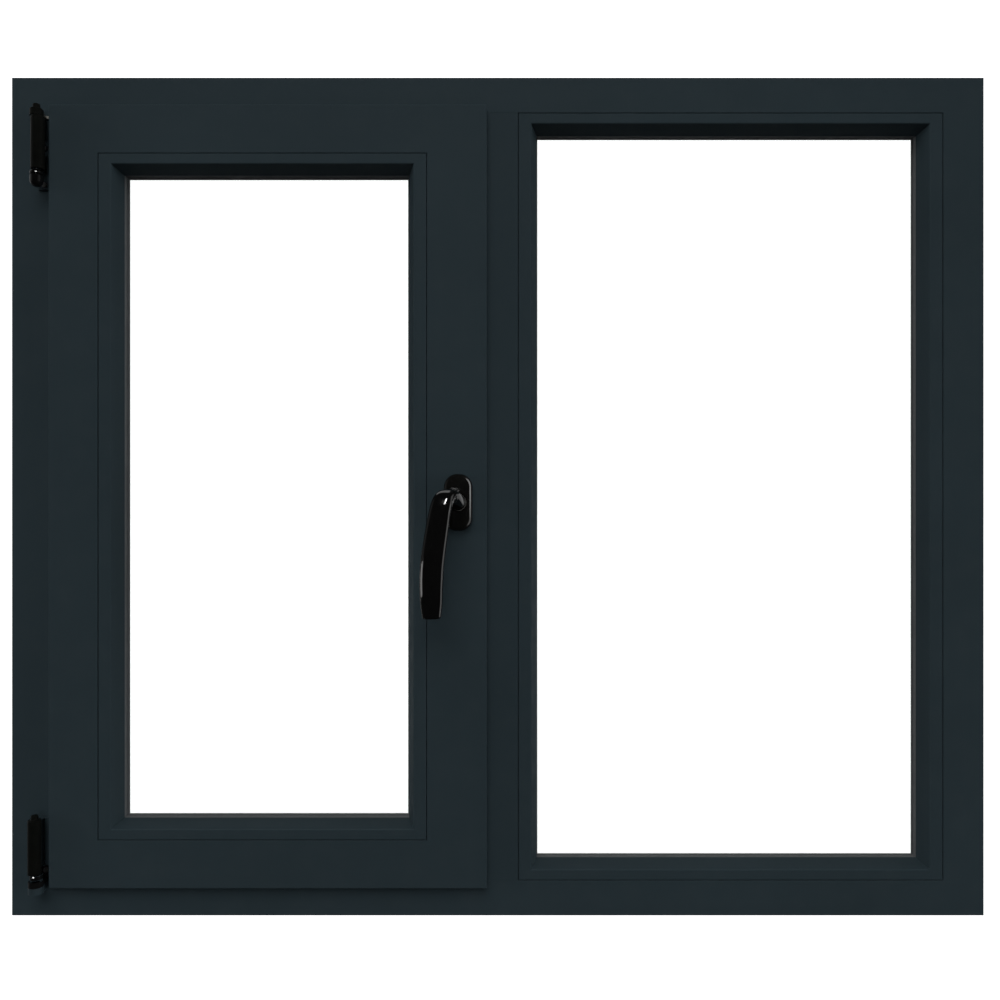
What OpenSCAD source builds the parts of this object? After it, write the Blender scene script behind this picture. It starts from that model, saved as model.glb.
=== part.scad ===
// Two-light casement window: a tilt-and-turn sash on the left and a fixed light on the right.
// Seen from the room: +X right, +Y outdoors, +Z up. The origin is on the underside of the sill,
// at the middle of the frame's width and depth.

/* [Frame] */
// Overall width of the frame
frame_w = 1160; // [1120:10:1240]
// Overall height of the frame
frame_h = 1000; // [960:10:1100]
// Depth of the frame from room face to outdoor face
frame_d = 80; // [80:1:86]
// Wall thickness of the frame profiles
frame_wall = 3; // [2.6:0.1:3.2]
// Height of the glazing rebate floor above the outer edge of head and sill
rail_floor = 42; // [41:0.5:43]
// Width from the outer edge of the hinge jamb to its rebate floor
hinge_jamb_floor = 54.5; // [54:0.5:56]
// Width from the outer edge of the fixed jamb to its rebate floor
fixed_jamb_floor = 48.5; // [47:0.5:50]
// Height of the outdoor leg above the rebate floor on head and sill
leg_rise = 19.5; // [19:0.5:20]
// Radius of the outer edges of the frame and the sash
edge_r = 1; // [0.6:0.2:1.6]

/* [Sash] */
// How far the sash face stands in front of the frame face
sash_proud = 12; // [11.5:0.5:12.5]
// Gap between the sash flange and the frame edge of the hinge jamb
sash_hinge_margin = 50; // [49.5:0.5:50.5]
// Visible height of frame above and below the sash
sash_margin = 37.5; // [37:0.5:38]
// Face width of the top and bottom rail, up to the glazing bead
rail_face = 57; // [56:0.5:58]
// Face width of the hinge stile, up to the glazing bead
hinge_stile_face = 58; // [57:0.5:59]
// Face width of the handle stile, up to the glazing bead
handle_stile_face = 70.5; // [70:0.5:72]
// Overhang of the sash flange over the hardware edge
flange_over = 17; // [17:0.5:17.5]

/* [Glazing] */
// Thickness of one glass pane
pane_t = 4; // [3:1:4]
// Height of the bead on the horizontal sides
bead_h = 19.5; // [19:0.5:20]
// Width of the bead on the vertical sides
bead_v = 23.2; // [22.2:0.2:23.4]
// Depth of the sloping face of the beads
bead_slope = 21; // [19:0.5:22]
// How far the room-side gasket shows past the beads on the sash stiles
gasket_show = 2.2; // [2:0.1:2.6]
// Gap between the glass edge and the rebate floor
edge_gap = 3; // [2.5:0.5:4]
// Height of the outdoor leg behind the sash glass
sash_leg = 10; // [9:0.5:12]
// Height of the outdoor leg behind the fixed glass
fixed_leg = 7.5; // [7:0.5:9]

/* [Hardware] */
// Height of the handle axis above the sill underside
handle_z = 493; // [440:1:560]
// Distance from the hinge axis to the rivet of the stay arm
stay_len = 385; // [375:5:395]
// Radius of the holes for the wall screws
fix_r = 3.2; // [3:0.1:4]
// Height of the lower wall screws above the sill underside
fix_low = 150; // [120:10:180]

/* [Hidden] */
$fn = 48;

unit_t = 24;                    // thickness of an insulated glass unit
pinion_r = 10;                  // pitch radius of the gearbox pinion
pinion_teeth = 16;
handle_screw_pitch = 43;
W = frame_w / 2;
H = frame_h;
yf = -frame_d / 2;              // room face of the frame
yb = frame_d / 2;               // outdoor face of the frame
yl = yb - 21;                   // room side of the outdoor leg
fw = frame_wall;
lip = rail_floor + leg_rise;    // top of the outdoor leg on head and sill
// Width tables: height on head or sill against width on a jamb, so that every edge meets at the mitre.
map_l = [[0, 0], [rail_floor, hinge_jamb_floor], [lip, hinge_jamb_floor + 20], [lip + 20, hinge_jamb_floor + 40]];
map_r = [[0, 0], [rail_floor, fixed_jamb_floor], [lip, fixed_jamb_floor + 22], [lip + 20, fixed_jamb_floor + 42]];
mul_l = -19.5;                  // mullion face towards the sash
mul_r = 24;                     // mullion face towards the fixed light
leg_w = 22;                     // width of the mullion's outdoor legs

// Sash outline
sx0 = -W + sash_hinge_margin;
sx1 = -13;
sz0 = sash_margin;
sz1 = H - sash_margin;
ysf = yf - sash_proud;          // room face of the sash
yfl = ysf + 8.5;                // back of the flange
ysb = ysf + 67.5;               // outdoor face of the sash
fo = flange_over;
map_id = [[0, 0], [17, 17], [30, 30], [rail_face, rail_face], [rail_face + 20, rail_face + 20], [rail_face + 40, rail_face + 40]];
map_h = [[0, 0], [17, 17], [30, 30], [rail_face, hinge_stile_face], [rail_face + 20, hinge_stile_face + 20], [rail_face + 40, hinge_stile_face + 40]];
map_k = [[0, 0], [17, 17], [30, 30], [rail_face, handle_stile_face], [rail_face + 20, handle_stile_face + 20], [rail_face + 40, handle_stile_face + 40]];
ysl = ysf + 59;                 // room side of the sash's outdoor leg
// Hardware edge of the sash and the middle of its groove
ex0 = sx0 + fo;
ex1 = sx1 - fo;
ez0 = sz0 + fo;
ez1 = sz1 - fo;
yg = yfl + 13;

// Glazing openings, at the rebate floor
so = [sx0 + hinge_stile_face, sx1 - handle_stile_face, sz0 + rail_face, sz1 - rail_face];
fx = [mul_r, W - fixed_jamb_floor, rail_floor, H - rail_floor];
flat_v = bead_v - 7.4;
flat_h = bead_h - 6.6;
bead_d = bead_slope + 8;        // depth of a bead
gap_g = 3;                      // thickness of the glazing gaskets

// Hinge axis and tilt axis
hx = -W + 39;
hy = yf - 18;
hz = 42;
// Handle axis
kx = -46.5;
kz = handle_z;
travel = 3.14159265 * pinion_r;

steel = "Silver";
black = [0.03, 0.03, 0.035];
paint = [0.14, 0.17, 0.185];
rubber = [0.05, 0.05, 0.05];
zinc = [0.75, 0.74, 0.70];

module box(a, b) { translate(a) cube(b - a); }
// Prism on an outline in the XZ plane, between two depths
module prism_xz(p, y0, y1) { translate([0, y1, 0]) rotate([90, 0, 0]) linear_extrude(y1 - y0) polygon(p); }
// Bar along X from an outline in YZ
module bar_x(x0, x1) { translate([x0, 0, 0]) rotate([90, 0, 90]) linear_extrude(x1 - x0) children(); }
// Bar along Z from an outline in XY
module bar_z(z0, z1) { translate([0, 0, z0]) linear_extrude(z1 - z0) children(); }
module cyl_y(x, y0, y1, z, r) { translate([x, y1, z]) rotate([90, 0, 0]) cylinder(h = y1 - y0, r = r); }
module cyl_x(x0, x1, y, z, r) { translate([x0, y, z]) rotate([0, 90, 0]) cylinder(h = x1 - x0, r = r); }
module cyl_z(x, y, z0, z1, r) { translate([x, y, z0]) cylinder(h = z1 - z0, r = r); }
// Rectangular ring in the XZ plane: o and i are [x0, x1, z0, z1]
module ring(o, i, y0, y1) {
    difference() {
        box([o[0], y0, o[2]], [o[1], y1, o[3]]);
        box([i[0], y0 - 1, i[2]], [i[1], y1 + 1, i[3]]);
    }
}
function inset(o, v, h) = [o[0] + v, o[1] - v, o[2] + h, o[3] - h];
function rect(a) = [[a[0], a[2]], [a[1], a[2]], [a[1], a[3]], [a[0], a[3]]];

// One mitre corner as a list of points from the outer corner inwards
function mitre(x, z, dx, dz, m) = [for (p = m) [x + dx * p[1], z + dz * p[0]]];
function rev(l) = [for (i = [len(l) - 1:-1:0]) l[i]];

// Outline with its corners rounded, one radius for each point
function corner(a, p, b, r, n) = let (u = (a - p) / norm(a - p), v = (b - p) / norm(b - p), h = acos(u * v) / 2,
    c = p + (u + v) / norm(u + v) * r / sin(h), s = p + u * r / tan(h) - c, e = p + v * r / tan(h) - c,
    a0 = atan2(s[1], s[0]), da = (atan2(e[1], e[0]) - a0 + 540) % 360 - 180)
    [for (i = [0:n]) c + r * [cos(a0 + da * i / n), sin(a0 + da * i / n)]];
function soften(pts, rs) = let (m = len(pts))
    [for (i = [0:m - 1]) each rs[i] > 0 ? corner(pts[(i + m - 1) % m], pts[i], pts[(i + 1) % m], rs[i], rs[i] > 0.9 ? 5 : 2) : [pts[i]]];

// ---- Frame profiles, as [height, depth] ----
frame_out = soften([[0, yf], [rail_floor, yf], [rail_floor, yl], [lip, yl], [lip, yb], [0, yb]],
    [edge_r, 0.25, 0, 0.8, 1.5, edge_r]);
// Beside the fixed light the outdoor leg is low and slopes outwards, so that it stays hidden behind the beads.
low_leg = [[rail_floor + fixed_leg, yl], [rail_floor + 0.3, yb]];
frame_out_low = soften([[0, yf], [rail_floor, yf], [rail_floor, yl], low_leg[0], low_leg[1], [0, yb]],
    [edge_r, 0.25, 0, 0.6, 1, edge_r]);
low_fill = soften([[rail_floor - 3, yl], low_leg[0], low_leg[1], [rail_floor - 3, yb]], [0, 0.6, 1, 0]);
frame_rooms = [
    [fw, rail_floor - fw, yf + fw, -24],
    [8, rail_floor - 4, -21, 9],
    [fw, rail_floor - 4, 12, yb - fw],
    [rail_floor - 1, lip - fw, yl + fw, yb - fw]];

module level_profile(z0, dz) {
    difference() {
        polygon([for (p = frame_out) [p[1], z0 + dz * p[0]]]);
        for (c = frame_rooms) polygon([for (p = rect(c)) [p[1], z0 + dz * p[0]]]);
    }
}
module upright_profile(x0, dx, m, low = false) {
    difference() {
        polygon([for (p = low ? frame_out_low : frame_out) [x0 + dx * lookup(p[0], m), p[1]]]);
        for (i = [0:low ? 2 : 3]) polygon([for (p = rect(frame_rooms[i])) [x0 + dx * lookup(p[0], m), p[1]]]);
    }
}
// Head or sill: the full profile at the sash, the low leg from the mullion on
module level_member(z0, dz) {
    a = z0 + dz * rail_floor; b = z0 + dz * (lip + 1);
    difference() {
        bar_x(-W, W) level_profile(z0, dz);
        box([mul_r, yl - 1, min(a, b)], [W + 1, yb + 1, max(a, b)]);
    }
    bar_x(mul_r, W) polygon([for (p = low_fill) [p[1], z0 + dz * p[0]]]);
}
ftl = mitre(-W, H, 1, -1, map_l);
ftr = mitre(W, H, -1, -1, map_r);
fbl = mitre(-W, 0, 1, 1, map_l);
fbr = mitre(W, 0, -1, 1, map_r);
fix_z = [fix_low, H - fix_low];

module frame_head() {
    color(paint) intersection() {
        level_member(H, -1);
        prism_xz(concat(ftl, rev(ftr)), yf - 1, yb + 1);
    }
}
module frame_sill() {
    color(paint) difference() {
        intersection() {
            level_member(0, 1);
            prism_xz(concat(fbl, rev(fbr)), yf - 1, yb + 1);
        }
        // drain slots through the outdoor wall
        for (x = [-350, 0, 350]) box([x - 14, yb - fw - 1, 17], [x + 14, yb + 1, 22]);
    }
}
module fix_holes(x0, x1) { for (z = fix_z) cyl_x(x0, x1, -6, z, fix_r); }
module frame_jamb_hinge_side() {
    color(paint) difference() {
        intersection() {
            bar_z(0, H) upright_profile(-W, 1, map_l);
            prism_xz(concat(fbl, rev(ftl)), yf - 1, yb + 1);
        }
        fix_holes(-W - 5, -W + 70);
    }
}
module frame_jamb_fixed_side() {
    color(paint) difference() {
        intersection() {
            bar_z(0, H) upright_profile(W, -1, map_r, true);
            prism_xz(concat(fbr, rev(ftr)), yf - 1, yb + 1);
        }
        fix_holes(W - 70, W + 5);
    }
}
module mullion() {
    color(paint) difference() {
        bar_z(rail_floor, H - rail_floor) difference() {
            polygon(soften([[mul_l, yf], [mul_r, yf], [mul_r, yl], [mul_r + fixed_leg + 1, yl], [mul_r + 0.3, yb],
                            [mul_l - leg_w, yb], [mul_l - leg_w, yl], [mul_l, yl]], [1, 0.25, 0, 0.6, 1, 1.5, 0.8, 0]));
            polygon(rect([mul_l + fw, mul_r - fw, yf + fw, -24]));
            polygon(rect([mul_l + 4.5, mul_r - 4.5, -21, 9]));
            polygon(rect([mul_l + fw, mul_r - fw, 12, yl]));
            polygon(rect([mul_l - leg_w + fw, mul_r - fw, yl + fw, yb - fw]));
        }
        // the outdoor legs stop against those of head and sill
        box([mul_l - leg_w - 1, yl, rail_floor - 1], [mul_r + 0.1, yb + 1, lip]);
        box([mul_l - leg_w - 1, yl, H - lip], [mul_r + 0.1, yb + 1, H - rail_floor + 1]);
        bar_x(mul_r - 1, mul_r + fixed_leg + 3) polygon([for (p = low_fill) [p[1], p[0]]]);
        bar_x(mul_r - 1, mul_r + fixed_leg + 3) polygon([for (p = low_fill) [p[1], H - p[0]]]);
    }
}
// Square steel tube, as outline a = [a0, a1, b0, b1]
module tube2(a, t) { difference() { polygon(rect(a)); polygon(rect([a[0] + t, a[1] - t, a[2] + t, a[3] - t])); } }
module frame_steel_bars() {
    u0 = 8.6; u1 = rail_floor - 4.6;
    color(steel) {
        bar_x(-W + 70, W - 60) tube2([-20.4, 8.4, H - u1, H - u0], 1.5);
        bar_x(-W + 70, W - 60) tube2([-20.4, 8.4, u0, u1], 1.5);
        difference() {
            union() {
                bar_z(55, H - 55) tube2([-W + lookup(u0, map_l), -W + lookup(u1, map_l), -20.4, 8.4], 1.5);
                bar_z(55, H - 55) tube2([W - lookup(u1, map_r), W - lookup(u0, map_r), -20.4, 8.4], 1.5);
            }
            fix_holes(-W - 5, -W + 70);
            fix_holes(W - 70, W + 5);
        }
        bar_z(rail_floor + 20, H - rail_floor - 20) tube2([mul_l + 5.1, mul_r - 5.1, -20.4, 8.4], 1.5);
    }
}
module mullion_connectors() {
    color("DimGray") for (z = [rail_floor + 0.2, H - rail_floor - 40.2]) difference() {
        box([mul_l + fw + 0.4, yf + fw + 0.4, z], [mul_r - fw - 0.4, -24.4, z + 40]);
        for (x = [mul_l + 11, mul_r - 11]) cyl_z(x, -30.5, z - 1, z + 41, 2.1);
    }
}
module frame_stop_gasket() {
    color(rubber) ring([ex0 + 2, ex1 - 6.5, ez0 + 2, ez1 - 2], [ex0 + 6, ex1 - 10.5, ez0 + 6, ez1 - 6], ysb + 0.3, yl);
}

// ---- Glazing, shared by both lights ----
// o is the rebate opening, yr the room face of the beads
module pane(o, y0) { color([0.8, 0.9, 0.9, 0.3]) { q = inset(o, edge_gap, edge_gap); box([q[0], y0, q[2]], [q[1], y0 + pane_t, q[3]]); } }
module spacer(o, y0) {
    q = inset(o, edge_gap + 0.6, edge_gap + 0.6); t = 5.9; y1 = y0 + unit_t - 2 * pane_t - 0.2;
    color("Gray") {
        box([q[0], y0 + 0.1, q[2] + t + 0.1], [q[0] + t, y1, q[3] - t - 0.1]);
        box([q[1] - t, y0 + 0.1, q[2] + t + 0.1], [q[1], y1, q[3] - t - 0.1]);
        box([q[0], y0 + 0.1, q[2]], [q[1], y1, q[2] + t]);
        box([q[0], y0 + 0.1, q[3] - t], [q[1], y1, q[3]]);
    }
}
module blocks(o, y0) {
    color("SteelBlue") {
        t = edge_gap - 0.2;
        for (x = [o[0] + 60, o[1] - 140]) for (z = [o[2] + 0.1, o[3] - t - 0.1]) box([x, y0 + 1, z], [x + 80, y0 + unit_t - 1, z + t]);
        for (z = [o[2] + 80, o[3] - 160]) for (x = [o[0] + 0.1, o[1] - t - 0.1]) box([x, y0 + 1, z], [x + t, y0 + unit_t - 1, z + 80]);
    }
}
module gasket_ring(o, v, h, y0, show_v, show_h) {
    color(rubber) ring(inset(o, v - 4, h - 4), inset(o, v + show_v, h + show_h), y0, y0 + gap_g);
}
// Bead outline as [height above the rebate floor, depth]
function bead_out(yr) = soften([[0.7, yr + 0.3], [1, yr], [flat_h, yr], [bead_h, yr + bead_slope], [bead_h, yr + bead_d],
    [0, yr + bead_d], [0, yr + 6], [0.7, yr + 6]], [0, 0, 1.6, 3, 0.6, 0, 0, 0]);
function bead_hole(yr) = [[3, yr + 3], [flat_h - 1.6, yr + 3], [bead_h - 3, yr + bead_slope - 0.6], [bead_h - 3, yr + bead_d - 3], [3, yr + bead_d - 3]];
bead_map = [[0, 0], [flat_h, flat_v], [bead_h, bead_v], [bead_h + 6.6, bead_v + 7.4]];
module bead_level(o, yr, z, dz) {
    a = mitre(o[0], z, 1, dz, bead_map); b = mitre(o[1], z, -1, dz, bead_map);
    intersection() {
        bar_x(o[0], o[1]) difference() {
            polygon([for (p = bead_out(yr)) [p[1], z + dz * p[0]]]);
            polygon([for (p = bead_hole(yr)) [p[1], z + dz * p[0]]]);
        }
        prism_xz(concat(a, rev(b)), yr - 1, yr + bead_d + 1);
    }
}
module bead_upright(o, yr, x, dx) {
    a = mitre(x, o[2], dx, 1, bead_map); b = mitre(x, o[3], dx, -1, bead_map);
    intersection() {
        bar_z(o[2], o[3]) difference() {
            polygon([for (p = bead_out(yr)) [x + dx * lookup(p[0], bead_map), p[1]]]);
            polygon([for (p = bead_hole(yr)) [x + dx * lookup(p[0], bead_map), p[1]]]);
        }
        prism_xz(concat(a, rev(b)), yr - 1, yr + bead_d + 1);
    }
}
module beads_level(o, yr) { color(paint) { bead_level(o, yr, o[2], 1); bead_level(o, yr, o[3], -1); } }
module beads_upright(o, yr) { color(paint) { bead_upright(o, yr, o[0], 1); bead_upright(o, yr, o[1], -1); } }
yfg = yf + bead_d + gap_g;      // room face of the fixed glass
ysg = ysf + bead_d + gap_g;     // room face of the sash glass

module fixed_pane_outdoor() { pane(fx, yfg + unit_t - pane_t); }
module fixed_pane_room() { pane(fx, yfg); }
module fixed_spacer() { spacer(fx, yfg + pane_t); }
module fixed_beads_level() { beads_level(fx, yf); }
module fixed_beads_upright() { beads_upright(fx, yf); }
module fixed_gasket_outdoor() { color(rubber) ring(inset(fx, 2.5, 2), inset(fx, fixed_leg + 1.4, fixed_leg + 0.4), yfg + unit_t, yl); }
module fixed_gasket_room() { gasket_ring(fx, bead_v, bead_h, yf + bead_d, gasket_show - 1, gasket_show - 1.7); }
module fixed_setting_blocks() { blocks(fx, yfg); }
module sash_pane_outdoor() { pane(so, ysg + unit_t - pane_t); }
module sash_pane_room() { pane(so, ysg); }
module sash_spacer() { spacer(so, ysg + pane_t); }
module sash_beads_level() { beads_level(so, ysf); }
module sash_beads_upright() { beads_upright(so, ysf); }
module sash_gasket_outdoor() { color(rubber) ring(inset(so, 3.5, 3.5), inset(so, sash_leg + 0.8, sash_leg + 0.5), ysg + unit_t, ysl); }
module sash_gasket_room() { gasket_ring(so, bead_v, bead_h, ysf + bead_d, gasket_show, gasket_show - 0.6); }
module sash_setting_blocks() { blocks(so, ysg); }

// ---- Sash profiles ----
sash_out = soften([[0, ysf], [rail_face, ysf], [rail_face, ysl], [rail_face + sash_leg, ysl], [rail_face + sash_leg - 3.5, ysb], [fo, ysb],
    [fo, yg + 8.1], [fo + 2.1, yg + 8.1], [fo + 2.1, yg + 5.7], [fo + 9, yg + 5.7], [fo + 9, yg - 5.7],
    [fo + 2.1, yg - 5.7], [fo + 2.1, yg - 8.1], [fo, yg - 8.1], [fo, yfl], [0, yfl]],
    [edge_r, 0.25, 0, 0.8, 1.5, 1.5, 0, 0, 0, 0, 0, 0, 0, 0, 0, 1]);
sash_rooms = [
    [3, rail_face - 3, ysf + 3, ysf + 5.7],
    [fo + 11.5, rail_face - 3, yfl + 2.5, yg + 10.5],
    [fo + 3, rail_face - 3, yg + 13.5, ysl - 3],
    [fo + 3, rail_face + sash_leg - 6.5, ysl + 2.6, ysb - 2.6]];
module rail_profile(z0, dz) {
    difference() {
        polygon([for (p = sash_out) [p[1], z0 + dz * p[0]]]);
        for (c = sash_rooms) polygon([for (p = rect(c)) [p[1], z0 + dz * p[0]]]);
    }
}
module stile_profile(x0, dx, m) {
    difference() {
        polygon([for (p = sash_out) [x0 + dx * lookup(p[0], m), p[1]]]);
        for (c = sash_rooms) polygon([for (p = rect(c)) [x0 + dx * lookup(p[0], m), p[1]]]);
    }
}
stl = mitre(sx0, sz1, 1, -1, map_h);
str_ = mitre(sx1, sz1, -1, -1, map_k);
sbl = mitre(sx0, sz0, 1, 1, map_h);
sbr = mitre(sx1, sz0, -1, 1, map_k);
module sash_top_rail() {
    color(paint) intersection() {
        bar_x(sx0, sx1) rail_profile(sz1, -1);
        prism_xz(concat(stl, rev(str_)), ysf - 1, ysb + 1);
    }
}
module sash_bottom_rail() {
    color(paint) intersection() {
        bar_x(sx0, sx1) rail_profile(sz0, 1);
        prism_xz(concat(sbl, rev(sbr)), ysf - 1, ysb + 1);
    }
}
module sash_hinge_stile() {
    color(paint) intersection() {
        bar_z(sz0, sz1) stile_profile(sx0, 1, map_h);
        prism_xz(concat(sbl, rev(stl)), ysf - 1, ysb + 1);
    }
}
module sash_handle_stile() {
    color(paint) difference() {
        intersection() {
            bar_z(sz0, sz1) stile_profile(sx1, -1, map_k);
            prism_xz(concat(sbr, rev(str_)), ysf - 1, ysb + 1);
        }
        // pocket for the gearbox, hole for the spindle and holes for the handle screws
        box([kx - 15.5, yg - 8.1, kz - 62], [ex1 - 1, yg + 8.1, kz + 62]);
        cyl_y(kx, ysf - 1, yg, kz, 7);
        for (s = [-1, 1]) cyl_y(kx, ysf - 1, yg, kz + s * handle_screw_pitch / 2, 3.6);
    }
}
module sash_steel_bars() {
    u0 = fo + 3.6; u1 = rail_face - 3.6; y0 = yg + 14.1; y1 = ysl - 3.6;
    color(steel) {
        bar_x(sx0 + 80, sx1 - 95) tube2([y0, y1, sz1 - u1, sz1 - u0], 1.5);
        bar_x(sx0 + 80, sx1 - 95) tube2([y0, y1, sz0 + u0, sz0 + u1], 1.5);
        bar_z(sz0 + 62, sz1 - 62) tube2([sx0 + lookup(u0, map_h), sx0 + lookup(u1, map_h), y0, y1], 1.5);
        bar_z(sz0 + 62, sz1 - 62) tube2([sx1 - lookup(u1, map_k), sx1 - lookup(u0, map_k), y0, y1], 1.5);
    }
}
// The strip behind the flange is cut away where the two hinge plates pass behind it.
module sash_overlap_gasket() {
    o = [sx0 + 1.2, sx1 - 1.5, sz0 + 1.2, sz1 - 1.2];
    color(rubber) difference() {
        ring(o, [o[0] + 2.8, o[1] - 4, o[2] + 2.8, o[3] - 2.8], yfl, yf - 0.4);
        box([o[0] - 1, yfl - 1, hz + 18], [o[0] + 4, yf + 1, hz + 78]);
        box([o[0] - 1, yfl - 1, ez1 + 3], [o[0] + 4, yf + 1, ez1 + 8]);
    }
}

// ---- Hinges ----
sbz0 = H - 117;                 // lower end of the upper bearing
sbz1 = H - 54.3;                // upper end of the upper bearing
// Screws of the two bearings, as [x, z]
bearing_fix = [[hx - 4.6, hz + 13.6], [hx + 3.6, hz + 13.6], [hx + 1, sbz0 - 12], [hx + 1, (sbz0 + sbz1) / 2]];
// Lower bearing on the frame: a cup with an upright pin, on a foot and a screwed plate
module corner_bearing() {
    color(black) difference() {
        union() {
            cyl_z(hx - 0.5, hy, hz - 7, hz + 7.7, 8.4);
            box([hx - 8, hy + 3, hz - 7], [hx + 6, yf, hz + 6]);
            box([hx - 8.6, yf - 2, hz - 7], [hx + 7.6, yf, hz + 17.6]);
        }
        difference() {
            cyl_z(hx, hy, hz - 4, hz + 9, 7.4);
            cyl_z(hx, hy, hz - 5, hz + 5, 2.5);
        }
        for (p = bearing_fix) if (p[1] < 200) cyl_y(p[0], yf - 3, yf + 1, p[1], 2.05);
    }
}
// Bush that turns on the upright pin and carries the two level trunnions of the tilt axis
module pivot_bush() {
    color(zinc) union() {
        difference() {
            cyl_z(hx, hy, hz - 3.6, hz + 3.6, 4.5);
            cyl_z(hx, hy, hz - 5, hz + 5, 2.55);
        }
        for (s = [0, 1]) cyl_x(hx + (s ? 3.6 : -6.2), hx + (s ? 6.2 : -3.6), hy, hz, 2);
    }
}
module corner_band() {
    color(black) difference() {
        union() {
            cyl_z(hx, hy, hz + 9.5, hz + 15, 7);
            cyl_z(hx, hy, hz + 14, hz + 77, 4.6);
            // ears around the trunnions
            for (s = [0, 1]) {
                box([hx + (s ? 4.8 : -6.3), hy - 3.1, hz - 3.1], [hx + (s ? 6.3 : -4.8), hy + 3.1, hz + 3.5]);
                box([hx + (s ? 4.8 : -6.3), hy - 2.3, hz], [hx + (s ? 6.3 : -4.8), hy + 2.3, hz + 12]);
            }
            // web, plate behind the flange and leaf on the hardware edge
            box([hx - 2, hy, hz + 20], [hx + 2, hy + 17.5, hz + 76]);
            box([hx - 2, hy + 15, hz + 20], [hx + 27.8, hy + 17.5, hz + 76]);
            box([hx + 25.8, hy + 15, hz + 20], [hx + 27.8, hy + 34, hz + 76]);
        }
        for (s = [0, 1]) cyl_x(hx + (s ? 4 : -7), hx + (s ? 7 : -4), hy, hz, 2.05);
        for (z = [30, 64]) cyl_x(hx + 25, hx + 29, yg, hz + z, 2.1);
    }
}
module corner_band_cover() {
    cx = hx - 1.3;
    color(black) difference() {
        union() {
            cyl_z(cx, hy, hz + 15.3, hz + 79, 7.3);
            cyl_z(cx, hy, hz + 78, hz + 84.5, 4);
        }
        cyl_z(cx, hy, hz + 15, hz + 77.4, 6.2);
        box([hx - 2.3, hy, hz + 15], [hx + 2.3, hy + 10, hz + 77.4]);
    }
}
// Upper bearing on the frame: two lugs for the pin, with a screw between them and one below
module stay_bearing() {
    color(black) difference() {
        union() {
            for (z = [sbz0, sbz1 - 22]) {
                cyl_z(hx, hy, z, z + 22, 4.6);
                box([hx - 3.6, hy, z], [hx + 3.6, yf, z + 22]);
            }
            box([hx - 5.8, yf - 2, sbz0 - 18], [hx + 8.2, yf, sbz1]);
        }
        cyl_z(hx, hy, sbz0 - 1, sbz1 + 1, 3.04);
        for (p = bearing_fix) if (p[1] > 200) cyl_y(p[0], yf - 3, yf + 1, p[1], 2.05);
    }
}
module stay_bearing_cover() {
    cx = hx + 1.2;
    color(black) difference() {
        cyl_z(cx, hy, sbz0 + 0.2, sbz1 - 0.2, 7.4);
        cyl_z(cx, hy, sbz0 - 1, sbz1 + 1, 6.2);
        box([hx - 4, hy, sbz0 - 1], [hx + 4, hy + 10, sbz1 + 1]);
    }
}
module stay_pin() {
    z0 = sbz0 - 20;
    color(black) union() {
        cyl_z(hx, hy, z0 + 7, z0 + 13.6, 7.2);
        intersection() { translate([hx, hy, z0 + 7.2]) sphere(r = 7.2); cyl_z(hx, hy, z0, z0 + 8, 8); }
        cyl_z(hx, hy, z0 + 14, z0 + 19.5, 7.4);
        cyl_z(hx, hy, z0 + 13, H - 42.5, 3);
    }
}
module stay_pin_cap() {
    color(black) difference() {
        union() {
            cyl_z(hx, hy, H - 47, H - 45.6, 6.8);
            cyl_z(hx, hy, H - 46, H - 39.6, 4.1);
        }
        cyl_z(hx, hy, H - 48, H - 42.5, 3);
    }
}
saz = H - 50.5;                 // underside of the stay arm
module stay_arm() {
    color(zinc) difference() {
        union() {
            cyl_z(hx, hy, saz - 3, saz + 3, 6.8);
            box([hx - 3, hy + 4, saz], [hx + 5, hy + 17.5, saz + 3]);
            box([hx - 3, hy + 15, saz], [hx + 34, hy + 17.5, saz + 3]);
            box([hx + 20, hy + 15, saz], [hx + 34, yg + 7, saz + 3]);
            box([hx + 20, yg - 8, saz], [hx + stay_len, yg + 7, saz + 3]);
            cyl_z(hx + stay_len, yg - 0.5, saz, saz + 3, 7.5);
        }
        cyl_z(hx, hy, saz - 4, saz + 4, 3.05);
        cyl_z(hx + stay_len, yg, saz - 1, saz + 4, 3);
    }
}
module stay_rivet() {
    color(zinc) union() {
        cyl_z(hx + stay_len, yg, ez1 - 5, saz + 3, 3);
        cyl_z(hx + stay_len, yg, saz + 3, saz + 4.2, 4.6);
    }
}
// Cap over the eye of the stay arm, open at the back where the arm comes out
module stay_eye_cap() {
    color(black) difference() {
        cyl_z(hx + 0.3, hy, saz - 3.5, saz + 3.3, 7.5);
        cyl_z(hx, hy, saz - 4, saz + 4, 6.9);
        box([hx - 3.4, hy, saz - 4], [hx + 5.4, hy + 9, saz + 4]);
    }
}
module bearing_screws() {
    color(zinc) for (p = bearing_fix) union() {
        cyl_y(p[0], yf - 3.4, yf - 2, p[1], 3.2);
        cyl_y(p[0], yf - 2.5, yf + 8, p[1], 2);
    }
}

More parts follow.
